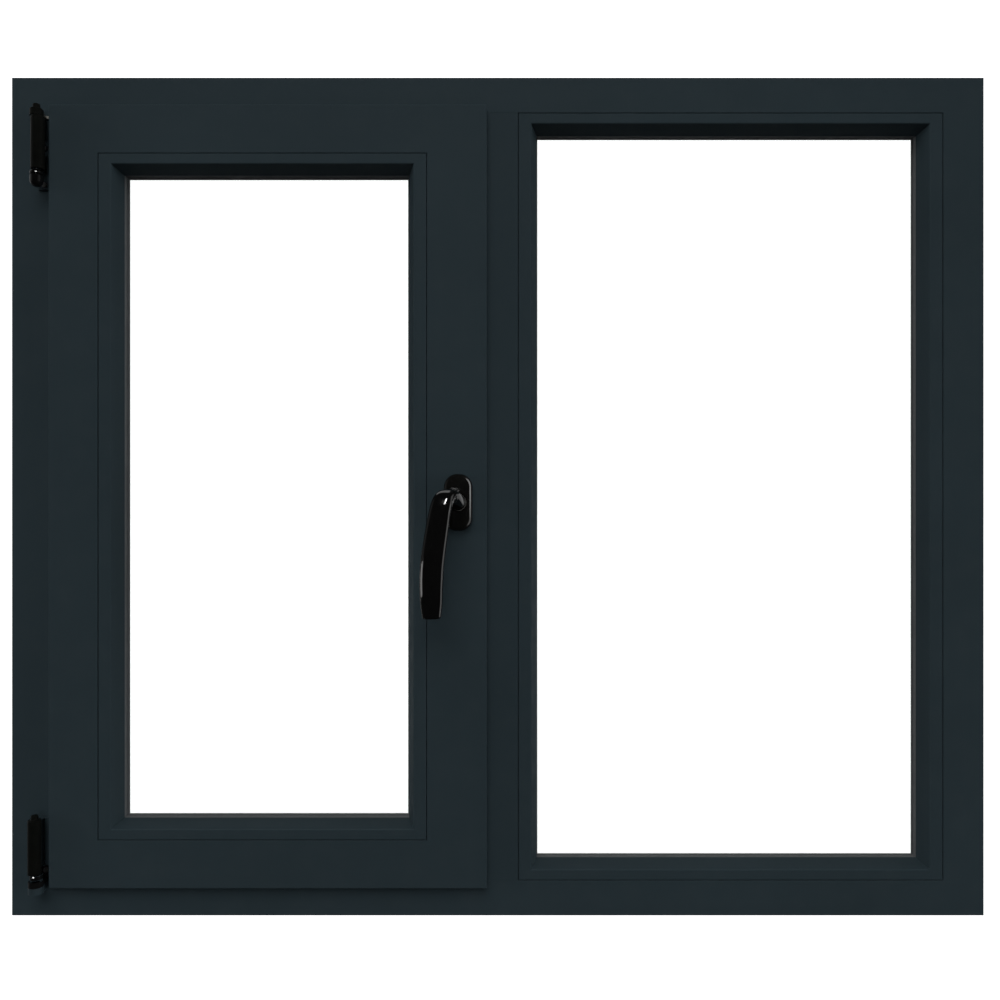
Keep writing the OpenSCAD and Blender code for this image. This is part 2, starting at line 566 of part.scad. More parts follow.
// ---- Strike plates, one for each cam ----
cam_z = [kz - 263, kz + 297];   // height of the side cams with the sash shut
cam_out = 6;                    // how far the cams stand out of the sash
cam_top = -110;                 // place of the cam on the top rod
cam_bot = cam_top + travel;     // place of the cam on the bottom rod
module side_strike(z) {
    difference() {
        union() {
            box([mul_l - 2.4, yg - 7.5, z - 38], [mul_l, yg + 16, z + 30]);
            box([mul_l - 7, yg + 6.6, z - 24], [mul_l, yg + 16, z + 16]);
        }
        for (s = [-31, 23]) cyl_x(mul_l - 3, mul_l + 1, yg + 4, z + s, 2.05);
    }
}
module level_strike(x, zf, dz) {
    a = min(zf, zf + dz * 2.4); b = max(zf, zf + dz * 2.4);
    c = min(zf, zf + dz * 7); d = max(zf, zf + dz * 7);
    difference() {
        union() {
            box([x - 34, yg - 7.5, a], [x + 34, yg + 16, b]);
            box([x - 20, yg + 6.6, c], [x + 20, yg + 16, d]);
        }
        for (s = [-27, 27]) cyl_z(x + s, yg + 4, min(zf - 1, zf + dz * 3), max(zf + 1, zf + dz * 3), 2.05);
    }
}
module strike_plates() {
    color(zinc) {
        for (z = cam_z) side_strike(z);
        level_strike(cam_top + travel / 2, H - rail_floor, -1);
    }
}
module tilt_strike_plate() { color(zinc) level_strike(cam_bot - travel / 2, rail_floor, 1); }
module strike_screws() {
    color(zinc) {
        for (z = cam_z) for (s = [-31, 23]) {
            cyl_x(mul_l - 3.5, mul_l - 2.4, yg + 4, z + s, 3.2);
            cyl_x(mul_l - 2.5, mul_l + 4, yg + 4, z + s, 2);
        }
        for (s = [-27, 27]) {
            cyl_z(cam_top + travel / 2 + s, yg + 4, H - rail_floor - 3.5, H - rail_floor - 2.4, 3.2);
            cyl_z(cam_top + travel / 2 + s, yg + 4, H - rail_floor - 2.5, H - rail_floor + 3.5, 2);
            cyl_z(cam_bot - travel / 2 + s, yg + 4, rail_floor + 2.4, rail_floor + 3.5, 3.2);
            cyl_z(cam_bot - travel / 2 + s, yg + 4, rail_floor - 3.5, rail_floor + 2.5, 2);
        }
    }
}
module drain_caps() {
    color(paint) for (x = [-350, 0, 350]) difference() {
        box([x - 24, yb, 12], [x + 24, yb + 5, 28]);
        box([x - 21, yb - 1, 11], [x + 21, yb + 3.2, 25]);
    }
}

// ---- Locking gear in the sash ----
fp = 2;                         // thickness of the faceplates
module slot_z(x0, x1, z0, z1, r) {
    cyl_x(x0, x1, yg, z0, r); cyl_x(x0, x1, yg, z1, r);
    box([x0, yg - r, z0], [x1, yg + r, z1]);
}
module slot_x(x0, x1, z0, z1, r) {
    cyl_z(x0, yg, z0, z1, r); cyl_z(x1, yg, z0, z1, r);
    box([x0, yg - r, z0], [x1, yg + r, z1]);
}
module sash_faceplate() {
    color(zinc) difference() {
        box([ex1 - fp, yg - 8, sz0 + 88], [ex1, yg + 8, sz1 - 88]);
        for (z = cam_z) slot_z(ex1 - 3, ex1 + 1, z - travel - 0.8, z + 0.8, 3.5);
        for (z = [kz - 300, kz - 80, kz + 80, kz + 330]) cyl_x(ex1 - 3, ex1 + 1, yg, z, 2);
    }
}
module corner_drives() {
    color(zinc) {
        difference() {
            union() {
                box([ex1 - fp, yg - 8, sz1 - 87.7], [ex1, yg + 8, ez1]);
                box([ex1 - 112, yg - 8, ez1 - fp], [ex1, yg + 8, ez1]);
            }
            slot_x(cam_top - 0.8, cam_top + travel + 0.8, ez1 - 3, ez1 + 1, 3.5);
        }
        difference() {
            union() {
                box([ex1 - fp, yg - 8, ez0], [ex1, yg + 8, sz0 + 87.7]);
                box([ex1 - 112, yg - 8, ez0], [ex1, yg + 8, ez0 + fp]);
            }
            slot_x(cam_bot - travel - 0.8, cam_bot + 0.8, ez0 - 1, ez0 + 3, 3.5);
        }
    }
}
module stay_rail() {
    color(zinc) difference() {
        box([ex0 + 8, yg - 8, ez1 - fp], [ex1 - 112.3, yg + 8, ez1]);
        slot_x(hx + stay_len - 14, hx + stay_len + 2.5, ez1 - 3, ez1 + 1, 4);
        for (x = [ex0 + 30, ex0 + 180]) cyl_z(x, yg, ez1 - 3, ez1 + 1, 2);
    }
}
module gearbox_case() {
    color(zinc) difference() {
        union() {
            for (y = [yg - 7.8, yg + 5.3]) box([kx - 14, y, kz - 58], [ex1 - 2.4, y + 2.5, kz + 58]);
            box([kx - 14, yg - 7.8, kz - 58], [kx - 12, yg + 7.8, kz + 58]);
            for (z = [kz - 58, kz + 52]) box([kx - 14, yg - 7.8, z], [ex1 - 7, yg + 7.8, z + 6]);
        }
        cyl_y(kx, yg - 9, yg + 9, kz, 6.55);
        for (s = [-1, 1]) cyl_y(kx, yg - 9, yg + 9, kz + s * handle_screw_pitch / 2, 2.55);
    }
}
// Involute gear outline
mod_ = 2 * pinion_r / pinion_teeth;
function inv_pt(rb, t, a) = rb * [cos(a + t) + t * PI / 180 * sin(a + t), sin(a + t) - t * PI / 180 * cos(a + t)];
module gear2d() {
    rb = pinion_r * cos(20); ro = pinion_r + mod_ * 0.9; rr = pinion_r - mod_ * 1.2;
    tmax = sqrt(pow(ro / rb, 2) - 1) * 180 / PI;
    tp = sqrt(pow(pinion_r / rb, 2) - 1) * 180 / PI;
    ip = tp - atan(tp * PI / 180);
    half = 90 / pinion_teeth - 0.9;
    union() {
        circle(r = rr, $fn = 64);
        for (i = [0:pinion_teeth - 1]) rotate(360 / pinion_teeth * i) polygon(concat(
            [[rr * 0.9 * cos(-half - ip), rr * 0.9 * sin(-half - ip)]],
            [for (k = [0:4]) inv_pt(rb, tmax * k / 4, -half - ip)],
            [for (k = [4:-1:0]) let (p = inv_pt(rb, tmax * k / 4, -half - ip)) [p[0], -p[1]]],
            [[rr * 0.9 * cos(half + ip), rr * 0.9 * sin(half + ip)]]));
    }
}
module drive_pinion() {
    color(zinc) translate([kx, 0, kz]) difference() {
        union() {
            translate([0, yg + 4.8, 0]) rotate([90, 0, 0]) linear_extrude(9.6) gear2d();
            translate([0, yg + 7.6, 0]) rotate([90, 0, 0]) cylinder(h = 15.2, r = 6.5);
        }
        box([-3.55, yg - 9, -3.55], [3.55, yg + 9, 3.55]);
    }
}
// Rack: straight-sided teeth that point at the pinion
rod_x = ex1 - fp - 0.4;         // back of the rods, just inside the faceplate
module rack_teeth() {
    px = kx + pinion_r; pitch = PI * mod_;
    n0 = -4; n1 = 12;
    for (i = [n0:n1]) translate([0, 0, kz + (i + 0.5) * pitch])
        prism_xz([[px + mod_ * 1.25 + 0.4, -1.55], [px + mod_ * 1.25, -1.45], [px - mod_ * 0.85, -0.48], [px - mod_ * 0.85, 0.48], [px + mod_ * 1.25, 1.45], [px + mod_ * 1.25 + 0.4, 1.55]], yg - 4.4, yg + 4.4);
}
module drive_rod() {
    color("LightSlateGray") difference() {
        union() {
            box([kx + pinion_r + mod_ * 1.25, yg - 4.5, kz - 330], [rod_x, yg + 4.5, kz + 350]);
            rack_teeth();
        }
        for (z = cam_z) cyl_x(kx, ex1, yg, z, 3);
    }
}
module side_cams() { color(zinc) for (z = cam_z) union() { cyl_x(rod_x - 2.5, ex1 + 3.4, yg, z, 3); cyl_x(ex1 + 3.2, ex1 + cam_out, yg, z, 5); } }
module top_rod() {
    color("LightSlateGray") union() {
        box([cam_top - 24, yg - 4.5, ez1 - fp - 2.9], [cam_top + 38, yg + 4.5, ez1 - fp - 0.4]);
        cyl_z(cam_top, yg, ez1 - fp - 0.6, ez1 + 3.4, 3);
        cyl_z(cam_top, yg, ez1 + 3.2, ez1 + cam_out, 5);
    }
}
module bottom_rod() {
    color("LightSlateGray") union() {
        box([cam_bot - 24, yg - 4.5, ez0 + fp + 0.4], [cam_bot + 38, yg + 4.5, ez0 + fp + 2.9]);
        cyl_z(cam_bot, yg, ez0 - 3.4, ez0 + fp + 0.6, 3);
        cyl_z(cam_bot, yg, ez0 - cam_out, ez0 - 3.2, 5);
    }
}

// ---- Handle ----
module stadium(w, h, r) {
    union() { for (x = [-1, 1]) for (z = [-1, 1]) translate([x * (w / 2 - r), z * (h / 2 - r)]) circle(r = r);
        square([w - 2 * r, h], center = true); square([w, h - 2 * r], center = true); }
}
module plate_y(w, h, r, y0, y1) { translate([kx, y1, kz]) rotate([90, 0, 0]) linear_extrude(y1 - y0) stadium(w, h, r); }
module handle_base() {
    color(zinc) difference() {
        plate_y(27.4, 61, 10, ysf - 7, ysf - 0.05);
        cyl_y(kx, ysf - 8, ysf + 1, kz, 9.3);
        for (s = [-1, 1]) cyl_y(kx, ysf - 8, ysf + 1, kz + s * handle_screw_pitch / 2, 2.6);
    }
}
module rosette_cover() {
    color(black) difference() {
        union() {
            plate_y(33.4, 67, 13, ysf - 8.2, ysf - 0.05);
            plate_y(30.4, 64, 11.5, ysf - 11, ysf - 8);
        }
        plate_y(28.2, 61.8, 10.4, ysf - 9.2, ysf + 1);
        cyl_y(kx, ysf - 12, ysf - 5, kz, 9.6);
    }
}
module handle_screws() {
    color(zinc) for (s = [-1, 1]) union() {
        cyl_y(kx, ysf - 9, ysf - 7, kz + s * handle_screw_pitch / 2, 4.6);
        cyl_y(kx, ysf - 8, yg - 3, kz + s * handle_screw_pitch / 2, 2.5);
    }
}
// Lever: elliptical sections along a curved path. Each row is [x, z, height off the sash, width, thickness].
lever = [[0, 0, 14, 18, 18], [-1, 1, 20, 18, 17.6], [-4, 3.6, 30, 18.8, 17], [-9, 5.4, 39, 20.6, 16], [-14.5, 1, 45.6, 23.2, 15],
    [-17.8, -9, 48.6, 24.8, 14], [-20.7, -26, 50.4, 25.8, 13], [-24.3, -50, 52.2, 26.6, 12.4], [-26.9, -72, 53, 26.8, 12],
    [-27.8, -94, 53, 26.4, 12], [-27.7, -115, 51.6, 24.6, 11.4], [-27.5, -127, 49.9, 21, 10], [-27.4, -130.5, 49.4, 14, 6]];
nl = len(lever);
function cr(a, b, c, d, t) = 0.5 * ((2 * b) + (c - a) * t + (2 * a - 5 * b + 4 * c - d) * t * t + (3 * b - a - 3 * c + d) * t * t * t);
function lv(i) = lever[max(0, min(nl - 1, i))];
ls = 3;                         // rings between two rows
nr = (nl - 1) * ls + 1;
function lrow(k) = let (i = min(nl - 2, floor(k / ls)), t = (k - i * ls) / ls) cr(lv(i - 1), lv(i), lv(i + 1), lv(i + 2), t);
rows = [for (k = [0:nr - 1]) lrow(k)];
function lpos(k) = [kx + rows[k][0], ysf - rows[k][2], kz + rows[k][1]];
function unit(v) = v / norm(v);
function ltan(k) = unit(lpos(min(nr - 1, k + 1)) - lpos(max(0, k - 1)));
function ldir(k) = k == 0 ? [1, 0, 0] : let (w = ldir(k - 1), t = ltan(k)) unit(w - (w * t) * t);
ns = 28;
module lever_body() {
    dirs = [for (k = [0:nr - 1]) ldir(k)];
    pts = [for (k = [0:nr - 1]) let (c = lpos(k), w = dirs[k], t = cross(ltan(k), w))
        for (j = [0:ns - 1]) let (a = 360 * j / ns, ca = cos(a), sa = sin(a))
            c + w * rows[k][3] / 2 * sign(ca) * pow(abs(ca), 0.8) + t * rows[k][4] / 2 * sign(sa) * pow(abs(sa), 0.8)];
    sides = [for (k = [0:nr - 2]) for (j = [0:ns - 1]) let (a = k * ns + j, b = k * ns + (j + 1) % ns) [a, b, b + ns, a + ns]];
    tri = [for (f = sides) each [[f[0], f[1], f[2]], [f[0], f[2], f[3]]]];
    polyhedron(concat(pts, [lpos(0), lpos(nr - 1)]), concat([for (t = tri) [t[2], t[1], t[0]]],
        [for (j = [0:ns - 1]) [j, (j + 1) % ns, len(pts)]],
        [for (j = [0:ns - 1]) [(nr - 1) * ns + (j + 1) % ns, (nr - 1) * ns + j, len(pts) + 1]]));
}
module handle_lever() {
    color(black) difference() {
        union() {
            cyl_y(kx, ysf - 18, ysf - 1.5, kz, 9.2);
            lever_body();
        }
        box([kx - 3.55, ysf - 16.5, kz - 3.55], [kx + 3.55, ysf, kz + 3.55]);
    }
}
module handle_spindle() { color("Gray") box([kx - 3.5, ysf - 16.4, kz - 3.5], [kx + 3.5, yg + 8, kz + 3.5]); }

frame_head();
frame_sill();
frame_jamb_hinge_side();
frame_jamb_fixed_side();
mullion();
frame_steel_bars();
mullion_connectors();
frame_stop_gasket();
fixed_pane_outdoor();
fixed_pane_room();
fixed_spacer();
fixed_beads_level();
fixed_beads_upright();
fixed_gasket_outdoor();
fixed_gasket_room();
fixed_setting_blocks();
strike_plates();
tilt_strike_plate();
strike_screws();
corner_bearing();
bearing_screws();
stay_bearing();
stay_bearing_cover();
stay_pin();
stay_pin_cap();
drain_caps();
pivot_bush();
sash_top_rail();
sash_bottom_rail();
sash_hinge_stile();
sash_handle_stile();
sash_steel_bars();
sash_beads_level();
sash_beads_upright();
sash_pane_outdoor();
sash_pane_room();
sash_spacer();
sash_gasket_outdoor();
sash_gasket_room();
sash_setting_blocks();
sash_overlap_gasket();
corner_band();
corner_band_cover();
sash_faceplate();
corner_drives();
stay_rail();
gearbox_case();
handle_base();
rosette_cover();
handle_screws();
handle_lever();
handle_spindle();
drive_pinion();
drive_rod();
side_cams();
top_rod();
bottom_rod();
stay_arm();
stay_rivet();
stay_eye_cap();
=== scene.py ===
"""Looks for the two-light window: materials, the smooth handle and hinge covers, glazing seals, light and camera."""
import math

import bmesh
import bpy
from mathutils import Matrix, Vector


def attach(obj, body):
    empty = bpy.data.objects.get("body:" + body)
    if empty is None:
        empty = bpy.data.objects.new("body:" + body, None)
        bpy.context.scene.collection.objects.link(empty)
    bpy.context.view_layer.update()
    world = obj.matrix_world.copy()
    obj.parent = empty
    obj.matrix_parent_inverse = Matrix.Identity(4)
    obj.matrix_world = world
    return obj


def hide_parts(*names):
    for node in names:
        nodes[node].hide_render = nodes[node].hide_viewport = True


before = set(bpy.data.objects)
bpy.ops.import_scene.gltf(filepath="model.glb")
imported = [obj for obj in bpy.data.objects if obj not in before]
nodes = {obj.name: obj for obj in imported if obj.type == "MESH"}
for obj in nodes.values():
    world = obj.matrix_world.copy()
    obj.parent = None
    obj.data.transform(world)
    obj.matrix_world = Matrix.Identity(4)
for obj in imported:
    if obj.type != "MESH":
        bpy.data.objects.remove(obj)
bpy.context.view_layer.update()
scene = bpy.context.scene
MM = 0.001


# ------------------------------------------------------------------ materials
class Mat:
    """A Principled material with small helpers for its nodes."""

    def __init__(self, name):
        self.m = bpy.data.materials.new(name)
        self.m.use_nodes = True
        self.t = self.m.node_tree
        self.t.nodes.clear()
        self.out = self.t.nodes.new("ShaderNodeOutputMaterial")
        self.b = self.t.nodes.new("ShaderNodeBsdfPrincipled")
        self.t.links.new(self.b.outputs[0], self.out.inputs["Surface"])
        self.co = self.t.nodes.new("ShaderNodeTexCoord")

    def node(self, kind, **props):
        n = self.t.nodes.new(kind)
        for k, v in props.items():
            setattr(n, k, v)
        return n

    def link(self, a, b):
        self.t.links.new(a, b)

    def mapped(self, scale):
        n = self.node("ShaderNodeMapping")
        n.inputs["Scale"].default_value = scale
        self.link(self.co.outputs["Object"], n.inputs["Vector"])
        return n.outputs[0]

    def noise(self, scale, detail=2.0, rough=0.5, stretch=None, distortion=0.0):
        n = self.node("ShaderNodeTexNoise")
        n.inputs["Scale"].default_value = scale
        n.inputs["Detail"].default_value = detail
        n.inputs["Roughness"].default_value = rough
        n.inputs["Distortion"].default_value = distortion
        self.link(self.mapped(stretch) if stretch else self.co.outputs["Object"], n.inputs["Vector"])
        return n.outputs["Fac"]

    def voronoi(self, scale, feature="F1", stretch=None):
        n = self.node("ShaderNodeTexVoronoi", feature=feature)
        n.inputs["Scale"].default_value = scale
        self.link(self.mapped(stretch) if stretch else self.co.outputs["Object"], n.inputs["Vector"])
        return n

    def ramp(self, fac, stops):
        n = self.node("ShaderNodeValToRGB")
        r = n.color_ramp
        while len(r.elements) < len(stops):
            r.elements.new(0.5)
        for e, (p, c) in zip(r.elements, stops):
            e.position, e.color = p, (*c, 1.0)
        self.link(fac, n.inputs[0])
        return n.outputs[0]

    def range(self, fac, lo, hi, a=0.3, b=0.7):
        n = self.node("ShaderNodeMapRange")
        for i, v in zip(("From Min", "From Max", "To Min", "To Max"), (a, b, lo, hi)):
            n.inputs[i].default_value = v
        self.link(fac, n.inputs["Value"])
        return n.outputs[0]

    def math(self, op, a, b):
        n = self.node("ShaderNodeMath", operation=op)
        for i, v in enumerate((a, b)):
            if hasattr(v, "is_output"):
                self.link(v, n.inputs[i])
            else:
                n.inputs[i].default_value = v
        return n.outputs[0]

    def mix(self, fac, a, b, how="MIX"):
        n = self.node("ShaderNodeMix", data_type="RGBA", blend_type=how)
        for i, v in zip((0, 6, 7), (fac, a, b)):
            if hasattr(v, "is_output"):
                self.link(v, n.inputs[i])
            else:
                n.inputs[i].default_value = v if i == 0 else (*v, 1.0)
        return n.outputs[2]

    def bump(self, height, strength, distance, normal=None):
        n = self.node("ShaderNodeBump")
        n.inputs["Strength"].default_value = strength
        n.inputs["Distance"].default_value = distance
        self.link(height, n.inputs["Height"])
        if normal is not None:
            self.link(normal, n.inputs["Normal"])
        return n.outputs[0]

    def round_edges(self, radius):
        n = self.node("ShaderNodeBevel")
        n.samples = 4
        n.inputs["Radius"].default_value = radius
        return n.outputs[0]

    def set(self, **kw):
        names = {"color": "Base Color", "rough": "Roughness", "metal": "Metallic", "spec": "Specular IOR Level",
                 "ior": "IOR", "normal": "Normal", "coat": "Coat Weight", "coat_rough": "Coat Roughness",
                 "trans": "Transmission Weight", "sheen": "Sheen Weight", "sheen_rough": "Sheen Roughness"}
        for k, v in kw.items():
            s = self.b.inputs[names[k]]
            if hasattr(v, "is_output"):
                self.link(v, s)
            else:
                s.default_value = (*v, 1.0) if isinstance(v, tuple) else v
        return self.m


def scaled(c, k):
    return tuple(x * k for x in c)


PAINT = (0.0163, 0.0247, 0.0292)


def paint(name, along, lip=None):
    """Smooth matte foil: a fine pebble, faint lines along the extrusion, and slow unevenness in colour and sheen.
    lip is the depth (y) behind which a glazing bead ends in its soft grey co-extruded edge."""
    m = Mat(name)
    lines = (900, 900, 900)
    lines = tuple(5 if i == along else v for i, v in enumerate(lines))
    streak = m.noise(1.0, 2.0, 0.6, stretch=lines)
    slow = m.noise(5.5, 2.0, 0.5)
    cloud = m.noise(42, 3.0, 0.55)
    pebble = m.voronoi(1500).outputs["Distance"]
    grit = m.noise(2600, 2.0, 0.6)
    tone = m.ramp(slow, [(0.30, scaled(PAINT, 0.955)), (0.70, scaled(PAINT, 1.045))])
    tone = m.mix(0.55, tone, m.ramp(streak, [(0.25, (0.93, 0.93, 0.93)), (0.75, (1.0, 1.0, 1.0))]), "MULTIPLY")
    dust = m.range(cloud, 0.0, 0.05, 0.45, 0.85)
    tone = m.mix(dust, tone, (0.060, 0.066, 0.068))
    rough = m.math("ADD", m.range(cloud, 0.50, 0.60), m.range(grit, -0.03, 0.03))
    height = m.math("ADD", m.math("MULTIPLY", pebble, 0.6), m.math("MULTIPLY", grit, 0.4))
    n = m.bump(height, 0.10, 0.00012)
    n = m.bump(streak, 0.05, 0.0002, n)
    if lip is not None:
        xyz = m.node("ShaderNodeSeparateXYZ")
        m.link(m.co.outputs["Object"], xyz.inputs[0])
        soft = m.range(xyz.outputs["Y"], 0.0, 1.0, lip, lip + 0.0004)
        tone = m.mix(soft, tone, m.ramp(m.noise(300, 2.0, 0.6), [(0.3, (0.069, 0.073, 0.076)), (0.7, (0.080, 0.085, 0.088))]))
    return m.set(color=tone, rough=rough, normal=n, spec=0.14)


def gloss_black(name, peel=0.10):
    """Glossy black lacquer over a cast part: orange peel, a few hairline rubs and a little dust."""
    m = Mat(name)
    wave = m.noise(260, 2.0, 0.5)
    rub = m.noise(1.0, 3.0, 0.7, stretch=(1600, 1600, 60), distortion=0.4)
    patch = m.noise(28, 3.0, 0.6)
    color = m.ramp(patch, [(0.30, (0.0011, 0.0011, 0.0012)), (0.75, (0.0024, 0.0023, 0.0023))])
    rough = m.math("ADD", m.range(patch, 0.050, 0.085), m.range(rub, 0.0, 0.04, 0.55, 0.8))
    n = m.bump(wave, peel, 0.0003)
    return m.set(color=color, rough=rough, normal=n, spec=0.5)


def gloss_plastic(name):
    """Moulded black plastic, a touch softer than the lacquer."""
    m = Mat(name)
    wave = m.noise(420, 2.0, 0.5)
    patch = m.noise(36, 3.0, 0.6)
    color = m.ramp(patch, [(0.30, (0.0014, 0.0014, 0.0013)), (0.75, (0.0032, 0.0031, 0.0028))])
    rough = m.math("ADD", m.range(patch, 0.13, 0.20), m.range(m.noise(1500, 2.0), -0.02, 0.02))
    n = m.bump(wave, 0.07, 0.0003)
    return m.set(color=color, rough=rough, normal=n, spec=0.5)


def zinc(name, base=(0.60, 0.59, 0.55), edge=0.00035):
    """Zinc plating: soft spangle, rolling lines and darker film in patches."""
    m = Mat(name)
    cell = m.voronoi(340).outputs["Color"]
    grey = m.node("ShaderNodeRGBToBW")
    m.link(cell, grey.inputs[0])
    film = m.noise(70, 4.0, 0.6)
    tone = m.ramp(grey.outputs[0], [(0.2, scaled(base, 0.90)), (0.8, scaled(base, 1.06))])
    tone = m.mix(m.range(film, 0.0, 0.45, 0.5, 0.8), tone, scaled(base, 0.62))
    lines = m.noise(1.0, 3.0, 0.6, stretch=(2200, 2200, 40))
    rough = m.math("ADD", m.range(film, 0.30, 0.42), m.range(lines, -0.05, 0.05))
    n = m.bump(lines, 0.08, 0.0001, m.round_edges(edge))
    return m.set(color=tone, rough=rough, normal=n, metal=1.0)


def hard_black(name):
    """The lacquer on small cast fittings, with its edges softened."""
    m = Mat(name)
    wave = m.noise(300, 2.0, 0.5)
    patch = m.noise(30, 3.0, 0.6)
    color = m.ramp(patch, [(0.30, (0.0034, 0.0034, 0.0036)), (0.75, (0.0066, 0.0064, 0.0062))])
    rough = m.range(patch, 0.11, 0.19)
    n = m.bump(wave, 0.08, 0.0003, m.round_edges(0.0005))
    return m.set(color=color, rough=rough, normal=n, spec=0.5)


def sleeve_plastic(name):
    """Satin black plastic of the hinge sleeves, with a fine matt grain and a few polished patches."""
    m = Mat(name)
    grain = m.noise(1100, 3.0, 0.6)
    patch = m.noise(40, 3.0, 0.6)
    color = m.ramp(patch, [(0.30, (0.0017, 0.0019, 0.0017)), (0.75, (0.0032, 0.0034, 0.0029))])
    rough = m.math("ADD", m.range(patch, 0.36, 0.46), m.range(grain, -0.03, 0.03))
    n = m.bump(grain, 0.12, 0.0001)
    return m.set(color=color, rough=rough, normal=n, spec=0.08)


def coated(name, black_above=None):
    """Powder coat in the frame colour on a cast fitting. Above the height black_above it is glossy black lacquer."""
    m = Mat(name)
    peel = m.noise(420, 3.0, 0.55)
    patch = m.noise(34, 3.0, 0.6)
    color = m.ramp(patch, [(0.30, scaled(PAINT, 0.84)), (0.75, scaled(PAINT, 0.98))])
    rough = m.math("ADD", m.range(patch, 0.44, 0.56), m.range(peel, -0.03, 0.03))
    if black_above is not None:
        xyz = m.node("ShaderNodeSeparateXYZ")
        m.link(m.co.outputs["Object"], xyz.inputs[0])
        top = m.range(xyz.outputs["Z"], 0.0, 1.0, black_above - 0.0003, black_above + 0.0003)
        color = m.mix(top, color, m.ramp(patch, [(0.30, (0.0026, 0.0026, 0.0026)), (0.75, (0.0052, 0.0051, 0.0048))]))
        rough = m.math("ADD", rough, m.math("MULTIPLY", top, -0.34))
    n = m.bump(peel, 0.16, 0.0002, m.round_edges(0.0005))
    return m.set(color=color, rough=rough, normal=n, spec=0.2)


def rubber(name, dark=(0.0050, 0.0052, 0.0055), light=(0.0115, 0.0120, 0.0125)):
    """EPDM seal: dull, with fine talc-like speckle and extrusion ripple."""
    m = Mat(name)
    speck = m.noise(1800, 2.0, 0.7)
    slow = m.noise(22, 3.0, 0.6)
    color = m.ramp(speck, [(0.35, dark), (0.80, light)])
    rough = m.range(slow, 0.52, 0.70)
    n = m.bump(m.noise(900, 3.0, 0.6), 0.25, 0.00015)
    return m.set(color=color, rough=rough, normal=n, spec=0.35)


def glass(name):
    """Clear float glass with a barely visible green body tint that varies by a hair."""
    m = Mat(name)
    slow = m.noise(3.0, 1.0)
    color = m.ramp(slow, [(0.3, (0.972, 0.988, 0.981)), (0.7, (0.980, 0.992, 0.986))])
    return m.set(color=color, rough=0.0, trans=1.0, ior=1.5)


def spacer(name):
    """Aluminium spacer bar with its row of breathing slots, drawn as dark dots painted into the colour (painted shade
    inside the holes) and as dents in the bump.
    """
    m = Mat(name)
    dots = m.voronoi(260).outputs["Distance"]
    slow = m.noise(60, 3.0)
    color = m.ramp(slow, [(0.3, (0.40, 0.41, 0.42)), (0.7, (0.50, 0.51, 0.52))])
    # painted shade: dark dots stand in for the shade inside the slot holes
    color = m.mix(m.range(dots, 0.55, 0.0, 0.05, 0.16), color, (0.10, 0.10, 0.10))
    rough = m.range(m.noise(700, 3.0), 0.34, 0.48)
    n = m.bump(dots, 0.2, 0.0002)
    return m.set(color=color, rough=rough, normal=n, metal=1.0)


def moulded(name, base):
    """Matte moulded plastic with a spark-eroded texture."""
    m = Mat(name)
    slow = m.noise(30, 3.0)
    color = m.ramp(slow, [(0.3, scaled(base, 0.92)), (0.7, scaled(base, 1.08))])
    rough = m.range(m.noise(500, 3.0), 0.42, 0.58)
    n = m.bump(m.noise(1600, 3.0, 0.65), 0.2, 0.0001)
    return m.set(color=color, rough=rough, normal=n, spec=0.4)


M = {
    "level": paint("foil_level", 0),
    "upright": paint("foil_upright", 2),
    "sash_bead_level": paint("bead_foil_sash_level", 0, -0.0314),
    "sash_bead_upright": paint("bead_foil_sash_upright", 2, -0.0314),
    "fixed_bead_level": paint("bead_foil_fixed_level", 0, -0.0194),
    "fixed_bead_upright": paint("bead_foil_fixed_upright", 2, -0.0194),
    "lacquer": gloss_black("black_lacquer"),
    "fitting": hard_black("black_fitting"),
    "cap": gloss_plastic("black_cap"),
    "zinc": zinc("zinc_plate"),
    "steel": zinc("galvanised", (0.52, 0.53, 0.54), 0.0005),
    "screw": zinc("screw_steel", (0.56, 0.56, 0.56), 0.0002),
    "sleeve": sleeve_plastic("hinge_sleeve_plastic"),
    "coated": coated("coated_fitting"),
    "coated_low": coated("coated_corner_bearing", 0.0430),
    "rubber": rubber("seal_rubber"),
    "lip": rubber("glazing_lip_rubber", (0.046, 0.049, 0.052), (0.062, 0.066, 0.069)),
    "glass": glass("window_glass"),
    "spacer": spacer("spacer_bar"),
    "packer": moulded("packer_plastic", (0.05, 0.14, 0.28)),
    "grey": moulded("connector_plastic", (0.045, 0.045, 0.048)),
    "dark": moulded("drain_cap_plastic", (0.0165, 0.0235, 0.0270)),
}
